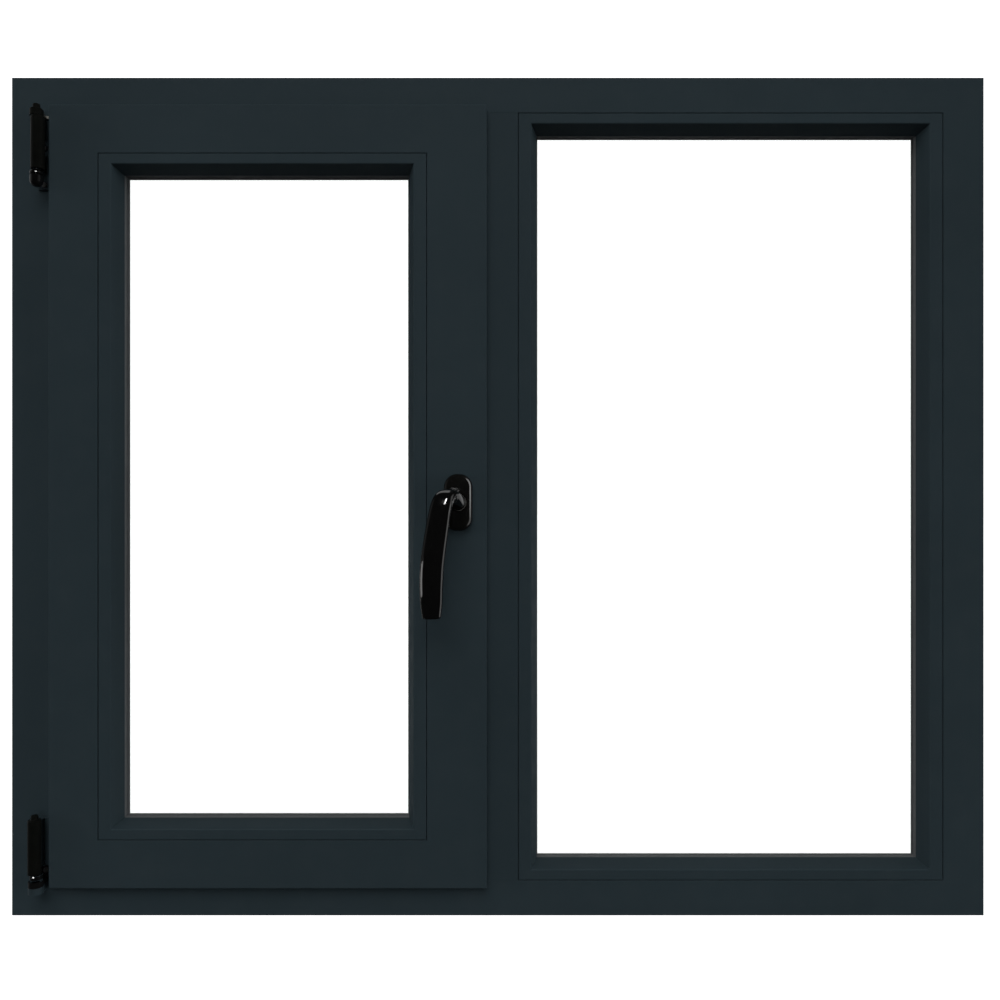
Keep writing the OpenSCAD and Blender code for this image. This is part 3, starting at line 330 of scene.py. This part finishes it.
LOOK = {
    "level": ["frame_head", "frame_sill", "sash_top_rail", "sash_bottom_rail"],
    "upright": ["frame_jamb_hinge_side", "frame_jamb_fixed_side", "mullion", "sash_hinge_stile", "sash_handle_stile"],
    "sash_bead_level": ["sash_beads_level"],
    "sash_bead_upright": ["sash_beads_upright"],
    "fixed_bead_level": ["fixed_beads_level"],
    "fixed_bead_upright": ["fixed_beads_upright"],
    "lacquer": ["handle_lever"],
    "fitting": ["stay_pin"],
    "coated": ["stay_bearing", "corner_band"],
    "coated_low": ["corner_bearing"],
    "cap": ["rosette_cover"],
    "sleeve": ["stay_bearing_cover", "corner_band_cover", "stay_pin_cap", "stay_eye_cap"],
    "zinc": ["strike_plates", "tilt_strike_plate", "pivot_bush", "sash_faceplate", "corner_drives", "stay_rail",
             "gearbox_case", "handle_base", "drive_pinion", "drive_rod", "side_cams", "top_rod", "bottom_rod",
             "stay_arm", "stay_rivet"],
    "steel": ["frame_steel_bars", "sash_steel_bars"],
    "screw": ["strike_screws", "bearing_screws", "handle_screws", "handle_spindle"],
    "rubber": ["frame_stop_gasket", "fixed_gasket_outdoor", "fixed_gasket_room", "sash_gasket_outdoor",
               "sash_gasket_room", "sash_overlap_gasket"],
    "glass": ["fixed_pane_outdoor", "fixed_pane_room", "sash_pane_outdoor", "sash_pane_room"],
    "spacer": ["fixed_spacer", "sash_spacer"],
    "packer": ["fixed_setting_blocks", "sash_setting_blocks"],
    "grey": ["mullion_connectors"],
    "dark": ["drain_caps"],
}
for look, names in LOOK.items():
    for n in names:
        if n in nodes:
            data = nodes[n].data
            data.materials.clear()
            data.materials.append(M[look])


# ------------------------------------------------------------------ mesh tools
def new_piece(name, verts, faces, look, body, slot, smooth=35):
    me = bpy.data.meshes.new(name)
    me.from_pydata([tuple(c * MM for c in v) for v in verts], [], faces)
    me.validate()
    bm = bmesh.new()
    bm.from_mesh(me)
    bmesh.ops.recalc_face_normals(bm, faces=bm.faces)
    bm.to_mesh(me)
    bm.free()
    me.shade_smooth()
    me.set_sharp_from_angle(angle=math.radians(smooth))
    me.materials.append(M[look])
    o = bpy.data.objects.new(name, me)
    scene.collection.objects.link(o)
    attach(o, body)
    return o


def arc(cx, cy, r, a0, a1, n):
    return [(cx + r * math.cos(math.radians(a0 + (a1 - a0) * i / n)),
             cy + r * math.sin(math.radians(a0 + (a1 - a0) * i / n))) for i in range(n + 1)]


def lathe(loops, cx, cy, n=72, a0=None, a1=None):
    """Turns a profile of (radius, z) about an upright axis. A full turn closes on itself and its ends on the axis.
    With a0 and a1 the profile is a closed loop swept through part of a turn and capped at both ends."""
    verts, faces = [], []
    if a0 is None:
        rings = []
        for r, z in loops:
            if r < 1e-6:
                rings.append([len(verts)])
                verts.append((cx, cy, z))
            else:
                rings.append(list(range(len(verts), len(verts) + n)))
                verts += [(cx + r * math.cos(2 * math.pi * j / n), cy + r * math.sin(2 * math.pi * j / n), z)
                          for j in range(n)]
        for a, b in zip(rings, rings[1:]):
            for j in range(n):
                k = (j + 1) % n
                if len(a) == 1:
                    faces.append((a[0], b[j], b[k]))
                elif len(b) == 1:
                    faces.append((a[j], b[0], a[k]))
                else:
                    faces.append((a[j], b[j], b[k], a[k]))
    else:
        m = len(loops)
        for j in range(n + 1):
            t = math.radians(a0 + (a1 - a0) * j / n)
            verts += [(cx + r * math.cos(t), cy + r * math.sin(t), z) for r, z in loops]
        for j in range(n):
            for i in range(m):
                k = (i + 1) % m
                faces.append((j * m + i, j * m + k, (j + 1) * m + k, (j + 1) * m + i))
        faces.append(tuple(range(m)))
        faces.append(tuple(n * m + i for i in range(m))[::-1])
    return verts, faces


def ring_loft(rect, profile, look_pts=6, radius=0.0):
    """A closed section carried round a rectangle. rect is x0, x1, z0, z1; a profile point is (inset across, inset up, y).
    The corners are mitred, or rounded on a radius that grows outwards."""
    x0, x1, z0, z1 = rect
    m = len(profile)
    verts, faces = [], []
    corners = [(x0, z0, 1, 1, 180), (x1, z0, -1, 1, 270), (x1, z1, -1, -1, 0), (x0, z1, 1, -1, 90)]
    count = 0
    for cx, cz, sx, sz, start in corners:
        steps = look_pts if radius > 0 else 0
        for s in range(steps + 1):
            for (v, h, y) in profile:
                px, pz = cx + sx * v, cz + sz * h
                if radius > 0:
                    a = math.radians(start + 90 * s / steps)
                    ox, oz = px + sx * radius, pz + sz * radius
                    px, pz = ox + radius * math.cos(a), oz + radius * math.sin(a)
                verts.append((px, y, pz))
            count += 1
    for j in range(count):
        k = (j + 1) % count
        for i in range(m):
            p = (i + 1) % m
            faces.append((j * m + i, j * m + p, k * m + p, k * m + i))
    return verts, faces


# ------------------------------------------------------------------ handle
YS = -52.0            # room face of the sash
KX, KZ = -46.5, 493.0  # handle axis
LEVER = [(0, 0, 14, 18, 18), (-1, 1, 20, 18, 17.6), (-4, 4.8, 30, 18.8, 17), (-9, 7.2, 39, 20.6, 16), (-14.5, 2.4, 45.6, 23.2, 15),
         (-17.8, -9, 48.6, 24.8, 14), (-20.7, -26, 50.4, 25.8, 13), (-24.3, -50, 52.2, 26.6, 12.4), (-26.9, -72, 53, 26.8, 12),
         (-27.8, -94, 53, 26.4, 12), (-27.7, -115, 51.6, 24.6, 11.4), (-27.5, -127, 49.9, 21.0, 10), (-27.4, -130.5, 49.4, 14, 6)]


def catmull(a, b, c, d, t):
    return tuple(0.5 * (2 * q + (r - p) * t + (2 * p - 5 * q + 4 * r - s) * t * t + (3 * q - p - 3 * r + s) * t ** 3)
                 for p, q, r, s in zip(a, b, c, d))


def lever_mesh():
    body = LEVER[:-2]
    rows = []
    sub = 7
    for i in range(len(body) - 1):
        quad = [body[max(0, i - 1)], body[i], body[i + 1], LEVER[min(len(LEVER) - 1, i + 2)]]
        for s in range(sub):
            rows.append(catmull(*quad, s / sub))
    rows.append(body[-1])
    # the end: a short straight run, then a tight rounded edge and a flat end
    end_a = Vector(LEVER[-3])
    for t in (0.25, 0.5, 0.75, 1.0):
        rows.append(tuple(end_a.lerp(Vector((-27.55, -126.6, 49.95, 21.8, 11.0)), t)))
    for q in range(1, 8):
        a = math.radians(90 * q / 7)
        back = 3.9 * math.sin(a)
        shrink = 3.4 * (1 - math.cos(a))
        rows.append((-27.55 + 0.05 * q / 7, -126.6 - back, 49.95 - 0.10 * back, 21.8 - 2 * shrink * 0.9, 11.0 - 2 * shrink * 0.72))
    pos = [Vector((KX + r[0], YS - r[2], KZ + r[1])) for r in rows]
    n_seg = 56
    verts, faces = [], []
    for k, r in enumerate(rows):
        t = (pos[min(len(rows) - 1, k + 1)] - pos[max(0, k - 1)]).normalized()
        if k >= len(rows) - 8:
            t = (pos[-9] - pos[-13]).normalized()
        wide = (Vector((1, 0, 0)) - t.x * t).normalized()
        thick = t.cross(wide)
        # round at the collar, flattened with rounded edges along the grip
        e = 0.95 - 0.38 * min(1.0, k / 34)
        for j in range(n_seg):
            a = 2 * math.pi * j / n_seg
            ca, sa = math.cos(a), math.sin(a)
            verts.append(tuple(pos[k] + wide * (r[3] / 2 * math.copysign(abs(ca) ** e, ca))
                               + thick * (r[4] / 2 * math.copysign(abs(sa) ** e, sa))))
    for k in range(len(rows) - 1):
        for j in range(n_seg):
            b = (j + 1) % n_seg
            faces.append((k * n_seg + j, k * n_seg + b, (k + 1) * n_seg + b, (k + 1) * n_seg + j))
    last = (len(rows) - 1) * n_seg
    # flat end with one inner ring, so that the shading stays clean
    c = sum((Vector(v) for v in verts[last:]), Vector()) / n_seg
    inner = len(verts)
    verts += [tuple(Vector(v).lerp(c, 0.25)) for v in verts[last:last + n_seg]]
    for j in range(n_seg):
        b = (j + 1) % n_seg
        faces.append((last + j, last + b, inner + b, inner + j))
    faces.append(tuple(inner + j for j in range(n_seg)))
    faces.append(tuple(range(n_seg))[::-1])
    # collar on the rosette, turned about the handle axis, with a shadow groove and a rounded shoulder
    prof = [(0, YS - 18.0)] + [(9.2 - 1.6 + x, y) for x, y in
                               [(1.6 * math.sin(math.radians(a)), YS - 18.0 + 1.6 - 1.6 * math.cos(math.radians(a)))
                                for a in range(0, 91, 15)]]
    prof += [(9.2, YS - 13.2), (9.2, YS - 12.0), (9.0, YS - 11.6), (8.8, YS - 11.4), (8.8, YS - 2.0), (0, YS - 2.0)]
    base = len(verts)
    n = 64
    rings = []
    for r, y in prof:
        if r < 1e-6:
            rings.append([len(verts)])
            verts.append((KX, y, KZ))
        else:
            rings.append(list(range(len(verts), len(verts) + n)))
            verts += [(KX + r * math.cos(2 * math.pi * j / n), y, KZ + r * math.sin(2 * math.pi * j / n)) for j in range(n)]
    for a, b in zip(rings, rings[1:]):
        for j in range(n):
            k = (j + 1) % n
            if len(a) == 1:
                faces.append((a[0], b[j], b[k]))
            elif len(b) == 1:
                faces.append((a[j], b[0], a[k]))
            else:
                faces.append((a[j], b[j], b[k], a[k]))
    return verts, faces


lever = new_piece("lever", *lever_mesh(), "lacquer", "handle", "black_lacquer", smooth=50)
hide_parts("handle_lever")


def stadium(w, h, r, n=12):
    pts = []
    for cx, cz, s in ((w / 2 - r, h / 2 - r, 0), (-w / 2 + r, h / 2 - r, 90), (-w / 2 + r, -h / 2 + r, 180), (w / 2 - r, -h / 2 + r, 270)):
        pts += arc(cx, cz, r, s, s + 90, n)
    return pts


def full_stadium(w, h, r):
    """The same outline with points along its straight sides too, so that rings facing it stay round."""
    pts = stadium(w, h, r)
    n, out = len(pts) // 4, []
    for q, extra in enumerate((2, 18, 2, 18)):
        run = pts[q * n:(q + 1) * n]
        (ax, az), (bx, bz) = run[-1], pts[(q + 1) * n % len(pts)]
        out += run + [(ax + (bx - ax) * k / extra, az + (bz - az) * k / extra) for k in range(1, extra)]
    return out


def rosette_mesh():
    """Cover of the handle plate: straight foot, a broad rounded shoulder, a nearly flat front and a recess for the collar."""
    w, h, r = 33.4, 67.0, 15.5
    foot, top, edge = YS - 0.05, YS - 11.0, 5.4
    loops = []
    loops.append([(x, foot, z) for x, z in full_stadium(w - 0.6, h - 0.6, r - 0.3)])
    loops.append([(x, foot - 0.35, z) for x, z in full_stadium(w, h, r)])
    loops.append([(x, top + 5.4, z) for x, z in full_stadium(w, h, r)])
    for i in range(1, 13):
        a = math.radians(90 * i / 12)
        inset, up = edge * (1 - math.cos(a)), 5.2 * math.sin(a)
        loops.append([(x, top + 5.2 - up, z) for x, z in full_stadium(w - 2 * inset, h - 2 * inset, r - inset)])
    m = len(loops[0])
    verts = [(KX + x, y, KZ + z) for lp in loops for x, y, z in lp]
    faces = []
    for k in range(len(loops) - 1):
        for j in range(m):
            b = (j + 1) % m
            faces.append((k * m + j, k * m + b, (k + 1) * m + b, (k + 1) * m + j))
    # front: from the inner edge of the shoulder to the bore round the collar, point to point by direction
    last = (len(loops) - 1) * m
    ring0 = [math.atan2(verts[last + j][2] - KZ, verts[last + j][0] - KX) for j in range(m)]

    def circle(rad, y):
        start = len(verts)
        verts.extend([(KX + rad * math.cos(a), y, KZ + rad * math.sin(a)) for a in ring0])
        return start

    rows = [last, circle(11.2, top), circle(10.2, top + 0.15), circle(9.75, top + 0.7), circle(9.6, top + 6.4)]
    for p, q in zip(rows, rows[1:]):
        for j in range(m):
            b = (j + 1) % m
            faces.append((p + j, p + b, q + b, q + j))
    # closed behind
    back = circle(9.6, foot)
    for j in range(m):
        b = (j + 1) % m
        faces.append((rows[-1] + j, rows[-1] + b, back + b, back + j))
        faces.append((back + j, back + b, b, j))
    return verts, faces


rosette = new_piece("rosette", *rosette_mesh(), "cap", "sash", "black_cap_plastic", smooth=40)
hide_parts("rosette_cover")

# ------------------------------------------------------------------ hinge covers
HX, HY, HZ = -541.0, -58.0, 42.0
H = 1000.0
SB0, SB1 = H - 117, H - 54.3


def sleeve(r, z0, z1, inner, e=0.9, crown=0.0):
    """Section of a clip-on sleeve: outer wall with rounded ends, thin inner wall."""
    out = arc(r - e, z0 + e, e, -90, 0, 5)
    if crown:
        out += [(r + crown * math.sin(math.pi * t / 8), z0 + e + (z1 - z0 - 2 * e) * t / 8) for t in range(1, 8)]
    out += arc(r - e, z1 - e, e, 0, 90, 5)
    return out + [(inner, z1), (inner, z0)]


def cover(name, cx, r, z0, z1, inner, body, node, left, right):
    """Clip-on sleeve, open at the back for the web from left to right of its middle (degrees)."""
    o = new_piece(name, *lathe(sleeve(r, z0, z1, inner), cx, HY, 84, 90 + left, 450 - right), "sleeve", body, "black_cap_plastic", smooth=40)
    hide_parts(node)
    return o


cover("upper_hinge_cover", HX + 1.5, 7.7, SB0 + 0.2, SB1 - 0.2, 6.5, "frame", "stay_bearing_cover", 46, 24)

# Knob of the hinge pin: a polished ring, a waist and a rounded drop, with the pin going up through the bearing
z0 = SB0 - 20
knob = [(0.0, z0)] + [(7.2 * math.sin(math.radians(a)), z0 + 7.2 - 7.2 * math.cos(math.radians(a))) for a in range(8, 91, 6)]
knob += [(7.2, z0 + 9.5)] + [(7.2 - 0.9 + 0.9 * math.cos(math.radians(a)), z0 + 12.4 + 0.9 * math.sin(math.radians(a))) for a in range(0, 91, 18)]
knob += [(5.6, z0 + 13.3), (5.6, z0 + 13.9), (0.0, z0 + 13.9)]
collar = [(0.0, z0 + 13.9), (5.6, z0 + 13.9)]
collar += [(7.4 - 1.9 + 1.9 * math.cos(math.radians(a)), z0 + 16.4 + 2.4 * math.sin(math.radians(a))) for a in range(-90, 91, 15)]
collar += [(3.1, z0 + 19.1), (3.0, z0 + 19.6), (3.0, H - 42.7), (2.8, H - 42.5), (0.0, H - 42.5)]
pin = new_piece("hinge_pin", *lathe(knob, HX, HY, 64), "lacquer", "frame", "black_lacquer", smooth=50)
pin_ring = new_piece("hinge_pin_ring", *lathe(collar, HX, HY, 64), "lacquer", "frame", "black_lacquer", smooth=50)
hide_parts("stay_pin")

cap = [(3.02, H - 46.9), (6.3, H - 47.0)] + [(6.3 + 0.5 * math.cos(math.radians(a)), H - 46.3 + 0.7 * math.sin(math.radians(a))) for a in range(-90, 91, 30)]
cap += [(4.7, H - 45.5), (4.2, H - 45.0), (4.1, H - 44.4), (4.1, H - 41.0)]
cap += [(2.7 + 1.4 * math.cos(math.radians(a)), H - 41.0 + 1.35 * math.sin(math.radians(a))) for a in range(15, 91, 15)]
cap += [(0.0, H - 39.6), ]
cap_low = [(0.0, H - 42.4), (3.02, H - 42.45), (3.02, H - 46.9)]
top_cap = new_piece("hinge_pin_cap", *lathe(cap_low + cap[1:], HX, HY, 56), "sleeve", "frame", "black_cap_plastic", smooth=45)
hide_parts("stay_pin_cap")

# Lower hinge cover with its stub
cx = HX - 2.25
cover("lower_hinge_cover", HX - 2.25, 7.45, HZ + 15.3, HZ + 79, 6.9, "sash", "corner_band_cover", 30, 42)
stub = [(0.0, HZ + 77.5), (6.9, HZ + 77.5), (6.9, HZ + 78.9), (4.9, HZ + 79.1), (4.2, HZ + 79.6), (4.0, HZ + 80.4), (4.0, HZ + 83.2)]
stub += [(2.7 + 1.3 * math.cos(math.radians(a)), HZ + 83.2 + 1.3 * math.sin(math.radians(a))) for a in range(15, 91, 15)] + [(0.0, HZ + 84.5)]
ring = [(0.0, HZ + 9.45), (6.3, HZ + 9.45)] + arc(6.25, HZ + 10.35, 0.9, -90, 0, 5) + arc(6.35, HZ + 14.3, 0.8, 0, 90, 5) + [(0.0, HZ + 15.1)]
new_piece("lower_hinge_stub", *lathe(stub, cx, HY, 56), "sleeve", "sash", "black_cap_plastic", smooth=45)
low_ring = new_piece("lower_hinge_ring", *lathe(ring, HX, HY, 64), "lacquer", "sash", "black_lacquer", smooth=45)

# ------------------------------------------------------------------ glazing seals: a soft lip that leans on the glass
def seal_lip(name, rect, bv, bh, show_v, show_h, y0, node, body):
    sec = [(-4.0, 0.0, 0), (-1.0, 0.0, 1), (-0.45, 0.18, 1), (-0.12, 0.62, 1), (0, 1.25, 1), (0, 2.0, 1), (-0.14, 2.6, 1),
           (-0.4, 2.98, 1), (-4.0, 2.98, 0)]
    prof = [(bv + d + show_v * k, bh + d + show_h * k, y0 + y) for d, y, k in sec]
    o = new_piece(name, *ring_loft(rect, prof, 5, 0.0), "lip", body, "seal_rubber", smooth=50)
    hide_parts(node)
    return o


seal_lip("sash_seal_lip", (-472.0, -83.5, 94.5, 905.5), 23.2, 19.5, 2.2, 1.6, -23.0, "sash_gasket_room", "sash")
seal_lip("fixed_seal_lip", (24.0, 531.5, 42.0, 958.0), 23.2, 19.5, 1.2, 0.5, -11.0, "fixed_gasket_room", "frame")


# ------------------------------------------------------------------ stage
def stage_material(name, strength, albedo=None):
    m = bpy.data.materials.new(name)
    m.use_nodes = True
    t = m.node_tree
    t.nodes.clear()
    out = t.nodes.new("ShaderNodeOutputMaterial")
    e = t.nodes.new("ShaderNodeEmission")
    e.inputs["Strength"].default_value = strength
    e.inputs["Color"].default_value = (1, 1, 1, 1)
    # bright for the eye, also through the glass, but no lamp: surfaces it would light through the panes see it dark
    path = t.nodes.new("ShaderNodeLightPath")
    seen = t.nodes.new("ShaderNodeMath")
    seen.operation = "LESS_THAN"
    seen.inputs[1].default_value = 0.5
    bounced = t.nodes.new("ShaderNodeMath")
    bounced.operation = "ADD"
    t.links.new(path.outputs["Diffuse Depth"], bounced.inputs[0])
    t.links.new(path.outputs["Glossy Depth"], bounced.inputs[1])
    t.links.new(bounced.outputs[0], seen.inputs[0])
    level = t.nodes.new("ShaderNodeMath")
    level.operation = "MULTIPLY"
    level.inputs[1].default_value = strength
    t.links.new(seen.outputs[0], level.inputs[0])
    t.links.new(level.outputs[0], e.inputs["Strength"])
    if albedo:
        d = t.nodes.new("ShaderNodeBsdfDiffuse")
        d.inputs["Color"].default_value = (albedo, albedo, albedo, 1)
        a = t.nodes.new("ShaderNodeAddShader")
        t.links.new(e.outputs[0], a.inputs[0])
        t.links.new(d.outputs[0], a.inputs[1])
        t.links.new(a.outputs[0], out.inputs["Surface"])
    else:
        t.links.new(e.outputs[0], out.inputs["Surface"])
    return m


def only_seen(o):
    """Shows to the camera and through glass, but sends no light onto the window."""
    o.visible_diffuse = False
    o.visible_glossy = False
    o.visible_shadow = False
    o.visible_volume_scatter = False


me = bpy.data.meshes.new("floor")
me.from_pydata([(-30, -30, -0.0005), (30, -30, -0.0005), (30, 30, -0.0005), (-30, 30, -0.0005)], [], [(0, 1, 2, 3)])
floor = bpy.data.objects.new("floor", me)
me.materials.append(stage_material("pale_floor", 1.12, 0.25))
scene.collection.objects.link(floor)
only_seen(floor)
bm = bmesh.new()
bmesh.ops.create_icosphere(bm, subdivisions=4, radius=29.0)
me = bpy.data.meshes.new("backdrop")
bm.to_mesh(me)
bm.free()
backdrop = bpy.data.objects.new("backdrop", me)
me.materials.append(stage_material("white_backdrop", 1.35))
scene.collection.objects.link(backdrop)
only_seen(backdrop)

# ------------------------------------------------------------------ light
world = bpy.data.worlds.new("studio")
scene.world = world
world.use_nodes = True
wt = world.node_tree
wt.nodes.clear()
w_out = wt.nodes.new("ShaderNodeOutputWorld")
w_bg = wt.nodes.new("ShaderNodeBackground")
w_co = wt.nodes.new("ShaderNodeTexCoord")
w_xyz = wt.nodes.new("ShaderNodeSeparateXYZ")
wt.links.new(w_co.outputs["Generated"], w_xyz.inputs[0])


def world_ramp(source, a, b, lo, hi):
    n = wt.nodes.new("ShaderNodeMapRange")
    n.interpolation_type = "SMOOTHSTEP"
    for i, v in zip(("From Min", "From Max", "To Min", "To Max"), (a, b, lo, hi)):
        n.inputs[i].default_value = v
    wt.links.new(source, n.inputs["Value"])
    return n.outputs[0]


def world_math(op, a, b):
    n = wt.nodes.new("ShaderNodeMath")
    n.operation = op
    for i, v in enumerate((a, b)):
        if hasattr(v, "is_output"):
            wt.links.new(v, n.inputs[i])
        else:
            n.inputs[i].default_value = v
    return n.outputs[0]


# What the polished parts mirror: dark in front of the window, lighter at both sides and behind, dim below
side = world_ramp(world_math("ABSOLUTE", w_xyz.outputs["X"], 0.0), 0.60, 0.98, 0.0, 0.2)
rear = world_ramp(w_xyz.outputs["Y"], 0.0, 0.5, 0.0, 0.7)
below = world_ramp(w_xyz.outputs["Z"], -0.40, 0.10, 0.20, 1.0)
total = world_math("MULTIPLY", world_math("MAXIMUM", side, rear), below)
wt.links.new(world_math("ADD", total, 0.02), w_bg.inputs["Strength"])
w_bg.inputs["Color"].default_value = (0.97, 0.99, 1.0, 1.0)
wt.links.new(w_bg.outputs[0], w_out.inputs["Surface"])


def group(name, *pieces):
    c = bpy.data.collections.new(name)
    for o in pieces:
        c.objects.link(o)
    return c


def place(name, d, at, aim, only=None):
    o = bpy.data.objects.new(name, d)
    o.location = at
    o.rotation_mode = "QUATERNION"
    o.rotation_quaternion = (Vector(aim) - Vector(at)).to_track_quat("-Z", "Y")
    scene.collection.objects.link(o)
    o.visible_camera = False
    if only:
        o.light_linking.receiver_collection = only
    return o


def sun(name, towards, angle, strength, color=(1, 1, 1)):
    """Even light from one side. It leaves the reflections alone."""
    d = bpy.data.lights.new(name, "SUN")
    d.angle, d.energy, d.color = math.radians(angle), strength, color
    o = place(name, d, Vector(towards) * 3, (0, 0, 0))
    o.visible_glossy = False
    return o


def sheen(name, towards, angle, strength, only):
    """Broad even glow that only the metal parts mirror, for the views where the window stands open."""
    d = bpy.data.lights.new(name, "SUN")
    d.angle, d.energy = math.radians(angle), strength
    o = place(name, d, Vector(towards) * 3, (0, 0, 0), only)
    o.visible_diffuse = False
    return o


def strip(name, at, aim, size_x, size_y, radiance, only=None, color=(1, 1, 1)):
    """A soft box that is only seen in reflections."""
    d = bpy.data.lights.new(name, "AREA")
    d.shape = "RECTANGLE"
    d.size, d.size_y, d.energy, d.color = size_x, size_y, radiance * 4 * math.pi * size_x * size_y, color
    o = place(name, d, at, aim, only)
    o.visible_diffuse = False
    return o


metal = group("lit_metal", *[nodes[n] for k in ("zinc", "steel", "screw", "spacer") for n in LOOK[k]
                             if n in nodes and n != "bearing_screws"])
lever_only = group("lit_lever", lever)
rosette_only = group("lit_rosette", rosette)
handle_parts = group("lit_handle", lever, rosette)
pin_only = group("lit_pin", pin_ring)
ring_only = group("lit_ring", low_ring)
sun("key", (-0.06, -0.63, 0.77), 46, 2.38, (1.0, 0.995, 0.985))
sun("fill", (0.02, -1.0, 0.05), 20, 0.66, (0.97, 0.985, 1.0))
sun("from_right", (0.97, -0.155, 0.10), 24, 2.1)
sun("from_left", (-0.97, -0.155, 0.10), 24, 1.6)
sun("from_below", (0.0, -0.45, -0.9), 60, 0.17)
sun("from_back", (0.12, 1.0, 0.38), 46, 1.5)
sheen("metal_front", (0.15, -1.0, 0.35), 150, 1.3, metal)
sheen("metal_back", (-0.3, 1.0, 0.35), 120, 0.6, metal)
strip("lever_spot", (-0.080, -1.37, 1.30), (-0.058, -0.106, 0.494), 0.045, 0.66, 22, lever_only)
strip("lever_left", (-0.605, -0.41, 0.34), (-0.085, -0.11, 0.40), 0.45, 0.22, 0.85, lever_only)
strip("right_high", (0.87, -0.50, 0.93), (-0.03, -0.06, 0.60), 0.75, 0.95, 1.0, rosette_only)
strip("right_low", (0.87, -0.50, 0.15), (-0.03, -0.06, 0.40), 0.75, 0.85, 0.36, handle_parts)
strip("right_lever", (0.87, -0.50, 0.93), (-0.03, -0.06, 0.60), 0.75, 0.95, 0.22, lever_only)
strip("neck_glow", (-0.010, -0.061, 0.497), (-0.010, -1.0, 0.497), 0.040, 0.026, 0.15, lever_only)
strip("knee_glow", (-0.080, -0.075, 0.560), (-0.080, -0.075, 0.0), 0.050, 0.034, 0.30, lever_only)
strip("pin_glint", (-0.2186, -0.985, 0.897), (-0.5386, -0.065, 0.877), 0.55, 0.55, 6, pin_only)
strip("ring_glint", (-0.981, -0.965, 0.054), (-0.541, -0.065, 0.054), 0.50, 0.60, 8, ring_only)

scene.view_settings.view_transform = "Standard"
scene.view_settings.look = "None"
scene.view_settings.exposure = 0.0
scene.view_settings.gamma = 1.0
scene.cycles.max_bounces = 12
scene.cycles.transparent_max_bounces = 12
scene.cycles.transmission_bounces = 12
scene.cycles.glossy_bounces = 4
scene.cycles.diffuse_bounces = 3
scene.cycles.caustics_refractive = True
scene.cycles.use_denoising = True

# ------------------------------------------------------------------ camera
cam_data = bpy.data.cameras.new("camera")
cam_data.sensor_width = 36.0
cam_data.lens = 36.0 * 1050.0 / 1193.0
cam_data.clip_start, cam_data.clip_end = 0.01, 200.0
cam = bpy.data.objects.new("camera", cam_data)
cam.location = (0.0026, -1.090, 0.4959)
cam.rotation_mode = "XYZ"
cam.rotation_euler = (math.radians(90), 0, 0)
scene.collection.objects.link(cam)
scene.camera = cam
